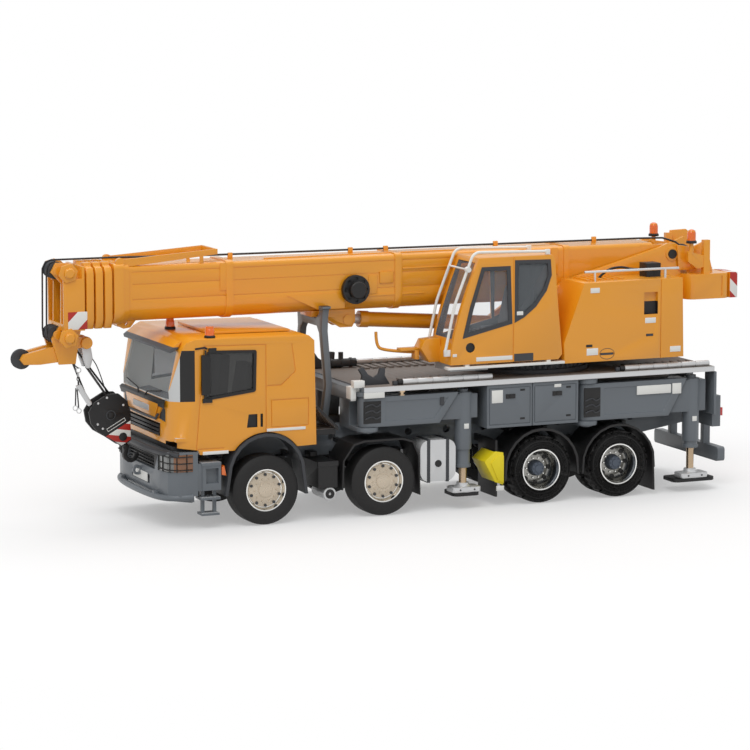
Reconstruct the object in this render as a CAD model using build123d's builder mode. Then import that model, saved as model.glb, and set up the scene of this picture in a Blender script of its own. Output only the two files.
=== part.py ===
"""Scale model of a four-axle truck-mounted telescopic crane, in millimetres."""
from build123d import *
import math
import os

# Frame: -X is the front, -Y the left side, Z = 0 the ground.

# Overall sizes
nose_tip_x = -120.0
tail_end_x = 120.0
body_half_width = 25.0
deck_half_width = body_half_width + 0.5

# Fits
running_clearance = 0.05
slide_clearance = 0.15
seat_gap = 0.3

# Wheels and axles
wheel_radius = 10.76
axle_1_x = -48.2
axle_2_x = -9.4
axle_3_x = 44.4
axle_4_x = 71.6
front_tyre_width = 7.7
twin_tyre_width = 6.0
twin_gap = 1.0
bead_radius = 6.6
rim_gap = 0.03
rim_wall = 0.7
kingpin_y = body_half_width - 5.5
kingpin_radius = 0.6
knuckle_eye_radius = 1.5
knuckle_eye_half_height = 1.5
ear_thickness = 1.0
front_spindle_radius = 1.0
rear_spindle_radius = 1.2
twin_inner_y = body_half_width - 2 * twin_tyre_width - twin_gap
spring_outer_y = twin_inner_y - 0.6
arch_outer_y = body_half_width - 0.1

# Chassis
rail_inner_y = 6.6
rail_outer_y = 8.6
rail_bottom_z = 17.5
rail_top_z = 27.0
rail_front_x = -66.0
rail_rear_x = 110.0

# Deck
deck_front_x = -16.3
deck_rear_x = 105.4
deck_bottom_z = 38.6
deck_top_z = 40.2

# Slewing and luffing
slew_x = 50.5
ring_radius = 19.0
ring_top_z = 43.7
table_bottom_z = 44.0
table_top_z = 45.2
luff_x = 98.4
luff_z = 74.9
cheek_inner_y = 7.4
cheek_thickness = 1.4
cheek_outer_y = cheek_inner_y + cheek_thickness

# Boom
boom_half_width = 7.0
boom_bottom_z = 61.6
boom_top_z = 78.6
boom_mid_z = (boom_bottom_z + boom_top_z) / 2
boom_half_height = (boom_top_z - boom_bottom_z) / 2
boom_front_x = -90.0
boom_rear_x = 92.4
boom_wall = 0.6
tele_wall = 0.5
collar_length = 2.3
collar_gap = 0.6
collar_bottom_z = 60.2
collar_top_z = 80.0

# Luffing cylinder
cylinder_base_x = 58.0
cylinder_base_z = 53.0
rod_eye_x = -12.5
rod_eye_z = 58.5
barrel_radius = 2.6
barrel_length = 65.5
rod_radius = 1.5

# Truck cab
cab_half_width = body_half_width - 0.5
cab_wall = 1.1
cab_rear_x = -32.2
cab_roof_z = 57.2
cab_floor_z = 28.2
glass_thickness = 0.5
glass_gap = 0.05

# Crane cab
crane_cab_inner_y = -cheek_outer_y - 0.6
crane_cab_wall = 0.9

# Outriggers
beam_half_width = 2.9
outrigger_y = body_half_width - 0.5 - beam_half_width
front_pivot_x = -13.8
rear_pivot_x = 61.5
front_beam_low_z = 27.7
front_beam_high_z = 37.0
rear_beam_low_z = 25.1
rear_beam_high_z = 36.8
beam_wall = 0.6
pivot_clearance = 0.1
frame_lug_radius = 3.6
pivot_pin_radius = 1.3
jack_x_front = 18.7
jack_x_rear = 99.0


def block(x_from, x_to, y_from, y_to, z_from, z_to, mode=Mode.ADD):
    """Add or cut a box given by its faces."""
    middle = ((x_from + x_to) / 2, (y_from + y_to) / 2, (z_from + z_to) / 2)
    with Locations(middle):
        Box(abs(x_to - x_from), abs(y_to - y_from), abs(z_to - z_from), mode=mode)


def side_plate(points, y_from, y_to, mode=Mode.ADD):
    """Extrude a side-view outline of (x, z) points between two values of y."""
    with BuildSketch(Plane.XZ.offset(-max(y_from, y_to))) as outline:
        with BuildLine() as edge:
            Polyline(*points, close=True)
        make_face(edge.line)
    extrude(outline.sketch, amount=abs(y_to - y_from), mode=mode)


def front_plate(points, x_from, x_to, mode=Mode.ADD):
    """Extrude a front-view outline of (y, z) points between two values of x."""
    with BuildSketch(Plane.YZ.offset(min(x_from, x_to))) as outline:
        with BuildLine() as edge:
            Polyline(*points, close=True)
        make_face(edge.line)
    extrude(outline.sketch, amount=abs(x_to - x_from), mode=mode)


def plan_plate(points, z_from, z_to, mode=Mode.ADD):
    """Extrude a plan outline of (x, y) points between two heights."""
    with BuildSketch(Plane.XY.offset(min(z_from, z_to))) as outline:
        with BuildLine() as edge:
            Polyline(*points, close=True)
        make_face(edge.line)
    extrude(outline.sketch, amount=abs(z_to - z_from), mode=mode)


def rod(start, end, radius, mode=Mode.ADD):
    """Add or cut a round bar between two points."""
    path = Vector(*end) - Vector(*start)
    with BuildSketch(Plane(origin=start, z_dir=path)) as outline:
        Circle(radius)
    extrude(outline.sketch, amount=path.length, mode=mode)


def bent_tube(points, bends, radius):
    """Sweep a round bar along straight runs joined by arcs."""
    with BuildLine() as route:
        FilletPolyline(*points, radius=list(bends))
    with BuildSketch(Plane(origin=route.line @ 0, z_dir=route.line % 0)) as ring:
        Circle(radius)
    sweep(ring.sketch, path=route.line)


def revolve_wheel(profile, axle_x, side):
    """Revolve a profile of (distance from the middle, radius) points about an axle."""
    plane = Plane(origin=(axle_x, 0, wheel_radius), x_dir=(0, side, 0), z_dir=(side, 0, 0))
    with BuildSketch(plane) as outline:
        with BuildLine() as edge:
            Polyline(*profile, close=True)
        make_face(edge.line)
    revolve(outline.sketch, axis=Axis((axle_x, 0, wheel_radius), (0, 1, 0)))


def tyre_profile(inner_y, outer_y):
    """Give the section of one tyre between its two faces."""
    shoulder = 1.0
    side_radius = wheel_radius - 1.4
    return (
        (inner_y, bead_radius),
        (outer_y, bead_radius),
        (outer_y, side_radius),
        (outer_y - shoulder, wheel_radius),
        (inner_y + shoulder, wheel_radius),
        (inner_y, side_radius),
    )


def front_wheel(axle_x, side):
    """Build one steered wheel, its tyre apart from its rim by the rim gap."""
    outer_y = body_half_width
    inner_y = outer_y - front_tyre_width
    rim_radius = bead_radius - rim_gap
    bore = front_spindle_radius + running_clearance
    disc_y = outer_y - 2.4
    disc_thickness = 0.6
    hub_radius = 2.5
    revolve_wheel(tyre_profile(inner_y, outer_y), axle_x, side)
    rim = (
        (inner_y + 0.3, rim_radius - rim_wall),
        (disc_y, rim_radius - rim_wall),
        (disc_y, bore),
        (outer_y - 0.9, bore),
        (outer_y - 0.9, 0),
        (outer_y - 0.3, 0),
        (outer_y - 0.6, hub_radius - 0.6),
        (outer_y - 1.2, hub_radius),
        (disc_y + disc_thickness, hub_radius + 0.4),
        (disc_y + disc_thickness, rim_radius - rim_wall - 0.6),
        (outer_y - 0.5, rim_radius - rim_wall),
        (outer_y - 0.3, rim_radius),
        (inner_y + 0.3, rim_radius),
    )
    revolve_wheel(rim, axle_x, side)
    bolt_circle = 3.9
    for turn in range(10):
        angle = math.radians(36 * turn)
        bolt_x = axle_x + bolt_circle * math.cos(angle)
        bolt_z = wheel_radius + bolt_circle * math.sin(angle)
        rod((bolt_x, side * disc_y, bolt_z), (bolt_x, side * (disc_y + 1.0), bolt_z), 0.35)


def twin_wheel(axle_x, side):
    """Build one pair of driven wheels on a shared rim."""
    outer_y = body_half_width
    split_y = outer_y - twin_tyre_width
    inner_y = split_y - twin_gap - twin_tyre_width
    rim_radius = bead_radius - rim_gap
    bore = rear_spindle_radius + running_clearance
    disc_y = split_y + 0.6
    hub_radius = 2.3
    revolve_wheel(tyre_profile(split_y, outer_y), axle_x, side)
    revolve_wheel(tyre_profile(inner_y, split_y - twin_gap), axle_x, side)
    rim = (
        (inner_y + 0.3, rim_radius - rim_wall),
        (disc_y, rim_radius - rim_wall),
        (disc_y, bore),
        (disc_y + 2.2, bore),
        (disc_y + 2.2, 0),
        (disc_y + 3.4, 0),
        (disc_y + 3.2, hub_radius - 0.5),
        (disc_y + 2.6, hub_radius),
        (disc_y + 0.6, hub_radius + 0.4),
        (disc_y + 0.6, rim_radius - rim_wall - 0.8),
        (outer_y - 0.6, rim_radius - rim_wall),
        (outer_y - 0.3, rim_radius),
        (inner_y + 0.3, rim_radius),
    )
    revolve_wheel(rim, axle_x, side)


def knuckle(axle_x, side):
    """Build one steering knuckle: two ears, the kingpin and the spindle."""
    centre_z = wheel_radius
    ear_inner = knuckle_eye_half_height + running_clearance
    ear_outer = ear_inner + ear_thickness
    back_y = kingpin_y + knuckle_eye_radius + 0.25
    back_thickness = 0.8
    for sign in (-1, 1):
        ear_z = sorted((centre_z + sign * ear_inner, centre_z + sign * ear_outer))
        with BuildSketch(Plane.XY.offset(ear_z[0])) as outline:
            with Locations((axle_x, side * kingpin_y)):
                Circle(knuckle_eye_radius)
            with Locations((axle_x, side * (kingpin_y + back_y) / 2)):
                Rectangle(2 * knuckle_eye_radius, back_y - kingpin_y)
        extrude(outline.sketch, amount=ear_thickness)
    block(axle_x - knuckle_eye_radius, axle_x + knuckle_eye_radius, side * back_y,
          side * (back_y + back_thickness), centre_z - ear_outer, centre_z + ear_outer)
    rod((axle_x, side * kingpin_y, centre_z - ear_outer),
        (axle_x, side * kingpin_y, centre_z + ear_outer), kingpin_radius)
    spindle_end = body_half_width - 1.0
    rod((axle_x, side * back_y, centre_z), (axle_x, side * spindle_end, centre_z), front_spindle_radius)


def arch_outline(centre_x, centre_z, radius, front_foot, rear_foot, thickness):
    """Give a wheel arch as a round crown with two legs, as one closed outline."""
    outer = [front_foot]
    inner = [(front_foot[0] + thickness, front_foot[1])]
    steps = 10
    for step in range(steps + 1):
        angle = math.radians(165 - 150 * step / steps)
        outer.append((centre_x + radius * math.cos(angle), centre_z + radius * math.sin(angle)))
        small = radius - thickness
        inner.append((centre_x + small * math.cos(angle), centre_z + small * math.sin(angle)))
    outer.append(rear_foot)
    inner.append((rear_foot[0] - thickness, rear_foot[1]))
    return outer + inner[::-1]


def boom_section(half_width, half_height):
    """Draw the boom's section, square above and round below, about the boom's middle."""
    top_radius = 0.2 * half_width
    bottom_radius = 0.62 * half_width
    with BuildLine() as edge:
        bottom = Line((-half_width + bottom_radius, -half_height), (half_width - bottom_radius, -half_height))
        right_curve = RadiusArc(bottom @ 1, (half_width, -half_height + bottom_radius), -bottom_radius)
        right = Line(right_curve @ 1, (half_width, half_height - top_radius))
        top_right = RadiusArc(right @ 1, (half_width - top_radius, half_height), -top_radius)
        top = Line(top_right @ 1, (-half_width + top_radius, half_height))
        top_left = RadiusArc(top @ 1, (-half_width, half_height - top_radius), -top_radius)
        left = Line(top_left @ 1, (-half_width, -half_height + bottom_radius))
        RadiusArc(left @ 1, bottom @ 0, -bottom_radius)
    make_face(edge.line)


def boom_tube(x_from, x_to, half_width, half_height, wall):
    """Build one hollow boom section along X."""
    plane = Plane(origin=(x_from, 0, boom_mid_z), x_dir=(0, 1, 0), z_dir=(1, 0, 0))
    with BuildSketch(plane) as outline:
        boom_section(half_width, half_height)
    extrude(outline.sketch, amount=x_to - x_from)
    with BuildSketch(plane) as outline:
        boom_section(half_width - wall, half_height - wall)
    extrude(outline.sketch, amount=x_to - x_from, mode=Mode.SUBTRACT)


def boom_collar(x_from, x_to, inner_half_width, inner_half_height):
    """Build the square collar at the mouth of a boom section."""
    outer_y = boom_half_width + 0.9
    block(x_from, x_to, -outer_y, outer_y, collar_bottom_z, collar_top_z)
    plane = Plane(origin=(x_from, 0, boom_mid_z), x_dir=(0, 1, 0), z_dir=(1, 0, 0))
    with BuildSketch(plane) as outline:
        boom_section(inner_half_width, inner_half_height)
    extrude(outline.sketch, amount=x_to - x_from, mode=Mode.SUBTRACT)


def side_groove(points, y_face, width=0.3, depth=0.25):
    """Cut a shallow panel line along (x, z) points in a side face."""
    side = 1 if y_face > 0 else -1
    for start, end in zip(points, points[1:]):
        length = math.hypot(end[0] - start[0], end[1] - start[1])
        off_x = -(end[1] - start[1]) / length * width / 2
        off_z = (end[0] - start[0]) / length * width / 2
        strip = (
            (start[0] + off_x, start[1] + off_z),
            (end[0] + off_x, end[1] + off_z),
            (end[0] - off_x, end[1] - off_z),
            (start[0] - off_x, start[1] - off_z),
        )
        side_plate(strip, y_face - side * depth, y_face + side, Mode.SUBTRACT)


def both_sides(x_from, x_to, y_from, y_to, z_from, z_to, mode=Mode.ADD):
    """Add or cut the same box on the left and on the right."""
    for side in (-1, 1):
        block(x_from, x_to, side * y_from, side * y_to, z_from, z_to, mode)


def sheave(x, z, y, radius, width):
    """Add one grooved sheave that turns about Y."""
    groove = 0.25 * radius
    plane = Plane(origin=(x, y, z), x_dir=(0, 1, 0), z_dir=(1, 0, 0))
    with BuildSketch(plane) as outline:
        with BuildLine() as edge:
            Polyline((-width / 2, 0), (width / 2, 0), (width / 2, radius), (0.3 * width / 2, radius - groove),
                     (-0.3 * width / 2, radius - groove), (-width / 2, radius), close=True)
        make_face(edge.line)
    revolve(outline.sketch, axis=Axis((x, y, z), (0, 1, 0)))


# Carrier

with BuildPart() as chassis_frame:
    rail = (
        (rail_front_x, 19.0),
        (rail_front_x, rail_top_z),
        (rail_rear_x, rail_top_z),
        (rail_rear_x, 21.0),
        (88.0, rail_bottom_z),
        (-58.0, rail_bottom_z),
    )
    side_plate(rail, -rail_outer_y, -rail_inner_y)
    side_plate(rail, rail_inner_y, rail_outer_y)
    for hole in range(9):
        hole_x = -20.0 + 13.0 * hole
        rod((hole_x, -rail_outer_y - 1, 23.0), (hole_x, rail_outer_y + 1, 23.0), 1.2, Mode.SUBTRACT)
    for cross_x in (-62.0, -28.0, 12.5, 29.0, 58.0, 90.0, 105.0):
        block(cross_x - 1.5, cross_x + 1.5, -rail_inner_y, rail_inner_y, 19.5, 26.0)
    block(slew_x - 8.0, slew_x + 5.5, -rail_inner_y, rail_inner_y, 25.0, rail_top_z)
    rear_half = body_half_width - 3.5
    block(rail_rear_x - 3.0, rail_rear_x, -rear_half, rear_half, 20.0, 30.0)
    block(104.5, 107.0, -rail_outer_y, rail_outer_y, rail_top_z - 5.0, 36.0)
    both_sides(109.2, 111.6, 10.0, 12.0, 11.0, 21.0)
    with BuildSketch(Plane.YZ.offset(109.2)):
        with Locations((0, 10.8)):
            RectangleRounded(2 * rear_half, 4.6, 1.0)
    extrude(amount=2.6)
    for lamp in (0, 1, 2):
        both_sides(109.9, 110.9, rear_half - 5.4 + 1.9 * lamp, rear_half - 4.0 + 1.9 * lamp, 23.4, 26.0)

with BuildPart() as axles:
    for axle_x in (axle_1_x, axle_2_x):
        beam_end = kingpin_y - 1.0
        block(axle_x - 1.3, axle_x + 1.3, -beam_end, beam_end, wheel_radius - 1.2, wheel_radius + 1.2)
        for side in (-1, 1):
            rod((axle_x, side * kingpin_y, wheel_radius - knuckle_eye_half_height),
                (axle_x, side * kingpin_y, wheel_radius + knuckle_eye_half_height), knuckle_eye_radius)
            rod((axle_x, side * kingpin_y, wheel_radius - 2),
                (axle_x, side * kingpin_y, wheel_radius + 2), kingpin_radius + running_clearance, Mode.SUBTRACT)
    for axle_x in (axle_3_x, axle_4_x):
        housing_end = twin_inner_y - 0.6
        spindle_end = body_half_width - twin_tyre_width + 1.4
        rod((axle_x, -housing_end, wheel_radius), (axle_x, housing_end, wheel_radius), 2.0)
        rod((axle_x, -spindle_end, wheel_radius), (axle_x, spindle_end, wheel_radius), rear_spindle_radius)
        with Locations((axle_x, 0, wheel_radius)):
            Sphere(4.2)
    rod((axle_3_x, 0, wheel_radius + 1), (axle_4_x, 0, wheel_radius + 1), 0.9)
    for axle_x in (axle_1_x, axle_2_x, axle_3_x, axle_4_x):
        spring = (
            (axle_x - 11.5, rail_bottom_z - 0.1),
            (axle_x - 11.5, rail_bottom_z + 1.1),
            (axle_x - 9.5, rail_bottom_z + 1.1),
            (axle_x - 5.0, 14.6),
            (axle_x, 13.6),
            (axle_x + 5.0, 14.6),
            (axle_x + 9.5, rail_bottom_z + 1.1),
            (axle_x + 11.5, rail_bottom_z + 1.1),
            (axle_x + 11.5, rail_bottom_z - 0.1),
            (axle_x + 6.0, 13.0),
            (axle_x + 1.6, 11.6),
            (axle_x - 1.6, 11.6),
            (axle_x - 6.0, 13.0),
        )
        for side in (-1, 1):
            side_plate(spring, side * rail_outer_y, side * spring_outer_y)

with BuildPart() as fuel_tank:
    tank_outer_y = body_half_width - 1.0
    tank_depth = 8.0
    tank = Plane(origin=(0, tank_depth - tank_outer_y, 0), x_dir=(1, 0, 0), z_dir=(0, -1, 0))
    with BuildSketch(tank):
        with Locations((9.2, 15.9)):
            RectangleRounded(12.0, 13.0, 3.0)
    extrude(amount=tank_depth)
    for strap_x in (6.0, 12.4):
        with BuildSketch(tank.offset(-0.2)):
            with Locations((strap_x, 15.9)):
                Rectangle(1.0, 13.5)
        extrude(amount=tank_depth + 0.4)
    rod((9.2, -tank_outer_y + 1, 15.0), (9.2, -tank_outer_y - 0.4, 15.0), 1.1)
    block(5.0, 13.4, tank_depth - tank_outer_y - 0.2, -rail_outer_y, 18.5, 20.5)
    mirror(about=Plane.XZ)

with BuildPart() as muffler:
    muffler_y = body_half_width - 6.0
    muffler_z = deck_top_z + 1.55
    rod((-10.5, muffler_y, muffler_z), (-0.2, muffler_y, muffler_z), 1.3)
    for band_x in (-9.0, -5.6, -2.2):
        rod((band_x, muffler_y, muffler_z), (band_x + 0.6, muffler_y, muffler_z), 1.55)
    rod((-5.3, muffler_y, muffler_z), (-5.3, muffler_y, muffler_z + 3.4), 0.8)

with BuildPart() as front_bumper:
    bumper_y = cab_half_width + 0.1
    bumper_inner_y = bumper_y - 2.6
    bumper_plan = (
        (-70.0, -bumper_y), (-75.6, -bumper_y), (-78.6, -bumper_y + 2.6), (-79.5, -bumper_y + 8.0),
        (-79.5, bumper_y - 8.0), (-78.6, bumper_y - 2.6), (-75.6, bumper_y), (-70.0, bumper_y),
        (-70.0, bumper_inner_y), (-75.2, bumper_inner_y), (-76.8, bumper_inner_y - 2.4),
        (-76.8, -bumper_inner_y + 2.4), (-75.2, -bumper_inner_y), (-70.0, -bumper_inner_y),
    )
    plan_plate(bumper_plan, 10.5, 23.9)
    block(-80.0, -78.2, -12.4, 12.4, 17.4, 21.6, Mode.SUBTRACT)
    block(-80.0, -78.8, -8.0, 8.0, 12.4, 15.0, Mode.SUBTRACT)
    lamp_inner_y = bumper_y - 6.4
    for side in (-1, 1):
        block(-80.0, -77.6, side * lamp_inner_y, side * (bumper_y - 1.8), 17.8, 23.2, Mode.SUBTRACT)
    tube_end_y = bumper_y - 6.0
    rod((-76.4, -tube_end_y, 9.3), (-76.4, tube_end_y, 9.3), 0.9)
    for side in (-1, 1):
        rod((-76.4, side * tube_end_y, 9.3), (-71.6, side * (bumper_y - 0.9), 9.3), 0.9)
        with Locations((-76.4, side * tube_end_y, 9.3)):
            Sphere(0.9)
    both_sides(-77.2, -75.6, tube_end_y - 3.0, tube_end_y - 1.6, 8.6, 11.0)
    both_sides(-72.4, -71.0, bumper_y - 2.0, bumper_y - 0.6, 8.6, 11.0)
    both_sides(-77.0, rail_front_x, rail_inner_y, rail_outer_y, 19.0, 23.0)
    step_inner_y = cab_half_width - 5.0
    step_outer_y = cab_half_width - 0.1
    both_sides(-68.6, -62.6, step_inner_y, step_outer_y + 0.2, 11.9, 20.2)
    both_sides(-67.4, -63.4, step_outer_y - 1.6, step_outer_y + 1, 14.0, 18.6, Mode.SUBTRACT)
    both_sides(-68.9, -62.6, step_inner_y, step_outer_y + 0.4, 19.4, 20.4)
    both_sides(-70.2, -68.4, step_inner_y + 0.5, step_outer_y, 11.9, 20.2)
    both_sides(-69.0, -62.8, step_inner_y, step_outer_y + 0.2, 9.0, 9.8)
    both_sides(-68.0, -66.8, step_inner_y + 0.5, step_inner_y + 1.5, 9.0, 12.2)
    both_sides(-68.2, -67.2, step_inner_y + 2.0, step_inner_y + 3.0, 4.4, 12.2)
    both_sides(-64.4, -63.4, step_inner_y + 2.0, step_inner_y + 3.0, 4.4, 12.2)
    both_sides(-68.6, -63.0, step_inner_y + 0.3, step_outer_y - 0.2, 4.2, 4.9)
    both_sides(-68.6, -62.6, rail_outer_y, step_inner_y + 0.1, 18.6, 20.0)
    with BuildSketch(Plane.XZ.offset(0.6)):
        with Locations((-80.6, 15.4)):
            Circle(1.5)
            Circle(0.8, mode=Mode.SUBTRACT)
    extrude(amount=-1.2)

with BuildPart() as front_wheel_arches:
    arch = arch_outline(-48.0, 15.7, 12.5, (-61.5, 9.9), (-34.6, 8.9), 0.8)
    side_plate(arch, -arch_outer_y, -arch_outer_y + 8.1)
    lip = arch_outline(-48.0, 15.7, 12.5, (-61.5, 9.9), (-34.6, 8.9), 1.0)
    side_plate(lip, -arch_outer_y - 0.3, -arch_outer_y + 0.6)
    marker = ((-61.5, 19.2), (-62.3, 18.6), (-62.3, 16.4), (-60.8, 16.0))
    side_plate(marker, -arch_outer_y + 0.5, -arch_outer_y + 3.0)
    both_sides(-60.4, -59.2, arch_outer_y - 7.6, rail_outer_y, 18.6, 20.2)
    both_sides(-37.0, -35.8, arch_outer_y - 7.6, rail_outer_y, 18.6, 20.2)
    mirror(about=Plane.XZ)

with BuildPart() as wheel_arches:
    second = (
        (-23.4, 9.0), (-23.0, 18.0), (-19.5, 23.0), (-16.0, 23.9), (-3.0, 23.9), (0.6, 22.8), (2.6, 18.0),
        (2.9, 5.8), (2.5, 5.8), (2.1, 18.0), (0.2, 22.3), (-3.1, 23.3), (-15.8, 23.3), (-19.1, 22.4),
        (-22.5, 17.9), (-22.9, 9.0),
    )
    arch_inner_y = twin_inner_y - 0.2
    side_plate(second, -arch_outer_y, -arch_inner_y - 1.4)
    third = arch_outline(axle_3_x + 0.2, 10.9, 12.9, (31.6, 8.0), (57.7, 8.5), 0.6)
    side_plate(third, -arch_outer_y, -arch_inner_y)
    fourth = arch_outline(axle_4_x, 10.6, 13.0, (58.6, 8.5), (84.6, 1.6), 0.6)
    side_plate(fourth, -arch_outer_y, -arch_inner_y)
    for arch_x, arch_z in ((axle_3_x + 0.2, 10.9), (axle_4_x, 10.6)):
        rib = arch_outline(arch_x, arch_z, 13.1, (arch_x - 13.0, 9.0), (arch_x + 13.0, 9.0), 0.7)
        side_plate(rib, -arch_outer_y, -arch_outer_y + 0.8)
    flap_x = 28.6
    both_sides(flap_x, flap_x + 0.7, arch_outer_y - 0.5, arch_inner_y, 3.2, 21.0)
    for stay_x in (-19.6, -2.0, 38.0, 50.0, 66.0, 78.0):
        both_sides(stay_x, stay_x + 1.4, arch_inner_y + 2.8, rail_outer_y, 21.6, 22.8)
    both_sides(flap_x, flap_x + 0.7, arch_inner_y + 0.2, rail_outer_y, 19.0, 21.0)
    mirror(about=Plane.XZ)

with BuildPart() as wheel_chocks:
    chock_outer_y = body_half_width - 1.0
    chock_width = 3.8
    chock = ((flap_x - 4.4, 8.0), (flap_x - 0.3, 8.0), (flap_x - 0.3, 19.6), (flap_x - 2.4, 19.6))
    hollow = ((flap_x - 3.4, 8.8), (flap_x - 1.1, 8.8), (flap_x - 1.1, 18.6), (flap_x - 2.2, 18.6))
    for chock_y in (chock_outer_y, chock_outer_y - chock_width - 0.8):
        side_plate(chock, -chock_y, -chock_y + chock_width)
        side_plate(hollow, -chock_y - 1, -chock_y + 1.2, Mode.SUBTRACT)
    mirror(about=Plane.XZ)

with BuildPart() as service_boxes:
    box_outer_y = body_half_width - 0.6
    for side in (-1, 1):
        block(-31.0, -24.6, side * (box_outer_y - 12.4), side * box_outer_y, 10.0, 18.0)
        block(-31.2, -24.4, side * (box_outer_y - 0.6), side * (box_outer_y + 0.3), 16.6, 18.2)
        block(-29.0, -26.6, side * rail_outer_y, side * (box_outer_y - 11.4), 17.8, 19.4)
        rod((-27.0, side * (box_outer_y - 10.4), 8.0), (-27.0, side * (box_outer_y - 0.4), 8.0), 2.02)
        block(-31.0, -24.6, side * rail_outer_y, side * (box_outer_y - 1.4), rail_top_z - 0.8, 27.9)
    plate = ((-31.0, 35.4), (-24.0, 28.6), (-24.0, 27.4), (-31.6, 34.8))
    side_plate(plate, -box_outer_y + 0.8, -rail_outer_y - 1.4)
    side_plate(plate, rail_outer_y + 1.4, box_outer_y - 0.8)

with BuildPart() as deck:
    block(deck_front_x, deck_rear_x, -deck_half_width, deck_half_width, deck_bottom_z, deck_top_z)
    front_half = deck_half_width - 3.5
    block(deck_front_x - 3.0, deck_front_x, -front_half, front_half, deck_bottom_z, deck_top_z - 0.4)
    block(deck_front_x - 3.0, deck_front_x - 1.2, -front_half, front_half, 35.8, deck_bottom_z)
    both_sides(deck_front_x - 3.2, deck_front_x - 1.4, front_half - 3.0, front_half + 0.6, 36.4, deck_top_z)
    for support_from, support_to in ((14.0, 33.0), (68.0, 98.0)):
        both_sides(support_from, support_to, rail_inner_y, rail_outer_y, rail_top_z, deck_bottom_z)
    tube_y = deck_half_width - 2.0
    tube_radius = 0.9
    for side in (-1, 1):
        for tube_from in (-2.7, 73.9):
            for segment in range(6):
                start_x = tube_from + segment * 5.1
                rod((start_x, side * tube_y, deck_top_z + tube_radius),
                    (start_x + 4.8, side * tube_y, deck_top_z + tube_radius), tube_radius)
            rod((tube_from, side * tube_y, deck_top_z + tube_radius),
                (tube_from + 30.4, side * tube_y, deck_top_z + tube_radius), tube_radius - 0.25)
    for walk_x in range(10):
        both_sides(76.0 + 2.9 * walk_x, 77.6 + 2.9 * walk_x, 12.0, 20.5, deck_top_z, deck_top_z + 0.5)
    for walk_x in range(9):
        both_sides(0.3 + 2.8 * walk_x, 1.9 + 2.8 * walk_x, 12.0, 20.5, deck_top_z, deck_top_z + 0.5)
    rod((slew_x, 0, deck_bottom_z - 1), (slew_x, 0, deck_top_z + 2), ring_radius + 1.4, Mode.SUBTRACT)

with BuildPart() as side_boxes:
    box_front_x = 25.4
    box_rear_x = 57.0
    block(box_front_x, box_rear_x, -body_half_width, -rail_outer_y, 25.0, deck_bottom_z)
    side_groove(((41.0, 24.0), (41.0, 39.5)), -body_half_width, 0.4, 0.4)
    for door_from, door_to in ((box_front_x + 0.8, 40.2), (41.8, box_rear_x - 0.8)):
        side_groove(((door_from, 26.0), (door_to, 26.0), (door_to, 37.4), (door_from, 37.4), (door_from, 26.0)),
                    -body_half_width)
    for latch_x in (31.8, 48.0):
        block(latch_x, latch_x + 3.2, -body_half_width - 0.3, -body_half_width + 0.4, 34.0, 35.4)
        rod((latch_x + 1.6, -body_half_width - 0.5, 34.7), (latch_x + 1.6, -body_half_width, 34.7), 0.5)
    mirror(about=Plane.XZ)

with BuildPart() as outrigger_frames:
    for pivot_x, low_z, high_z in ((front_pivot_x, front_beam_low_z, front_beam_high_z),
                                   (rear_pivot_x, rear_beam_low_z, rear_beam_high_z)):
        lug_middle = (outrigger_y + rail_outer_y) / 2
        plates = ((low_z - pivot_clearance - 1.4, 1.4), (high_z + pivot_clearance, deck_bottom_z - high_z - 0.1))
        for plate_z, plate_thickness in plates:
            with BuildSketch(Plane.XY.offset(plate_z)):
                for side in (-1, 1):
                    with Locations((pivot_x, side * outrigger_y)):
                        Circle(frame_lug_radius)
                    with Locations((pivot_x, side * lug_middle)):
                        Rectangle(2 * frame_lug_radius, outrigger_y - rail_outer_y)
            extrude(amount=plate_thickness)
        for side in (-1, 1):
            rod((pivot_x, side * outrigger_y, low_z - 1), (pivot_x, side * outrigger_y, high_z + 1),
                pivot_pin_radius)
            rod((pivot_x, side * outrigger_y, low_z - 2.1), (pivot_x, side * outrigger_y, low_z - 1), 2.0)
            block(pivot_x - frame_lug_radius, pivot_x + frame_lug_radius, side * rail_outer_y,
                  side * (outrigger_y - 5.4), low_z - 1.5, deck_bottom_z)

with BuildPart() as boom_rest:
    legs = (
        (-9.4, rail_top_z), (-13.2, 40.0), (-9.8, 56.0), (-10.2, 60.6), (-11.2, 63.6), (-8.4, 63.6),
        (-7.5, 61.4), (-4.8, 59.6), (4.8, 59.6), (7.5, 61.4), (8.4, 63.6), (11.2, 63.6), (10.2, 60.6),
        (9.8, 56.0), (13.2, 40.0), (9.4, rail_top_z), (7.0, rail_top_z), (10.8, 40.0), (7.4, 55.4),
        (5.6, 57.4), (-5.6, 57.4), (-7.4, 55.4), (-10.8, 40.0), (-7.0, rail_top_z),
    )
    front_plate(legs, -23.7, -21.7)
    block(-23.7, -21.7, -9.4, 9.4, rail_top_z, 29.0)
    for side in (-1, 1):
        cap = ((side * 9.6, 62.6), (side * 11.4, 63.2), (side * 11.4, 63.9), (side * 8.4, 63.9), (side * 8.2, 62.8))
        front_plate(cap, -24.1, -21.3)

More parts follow.
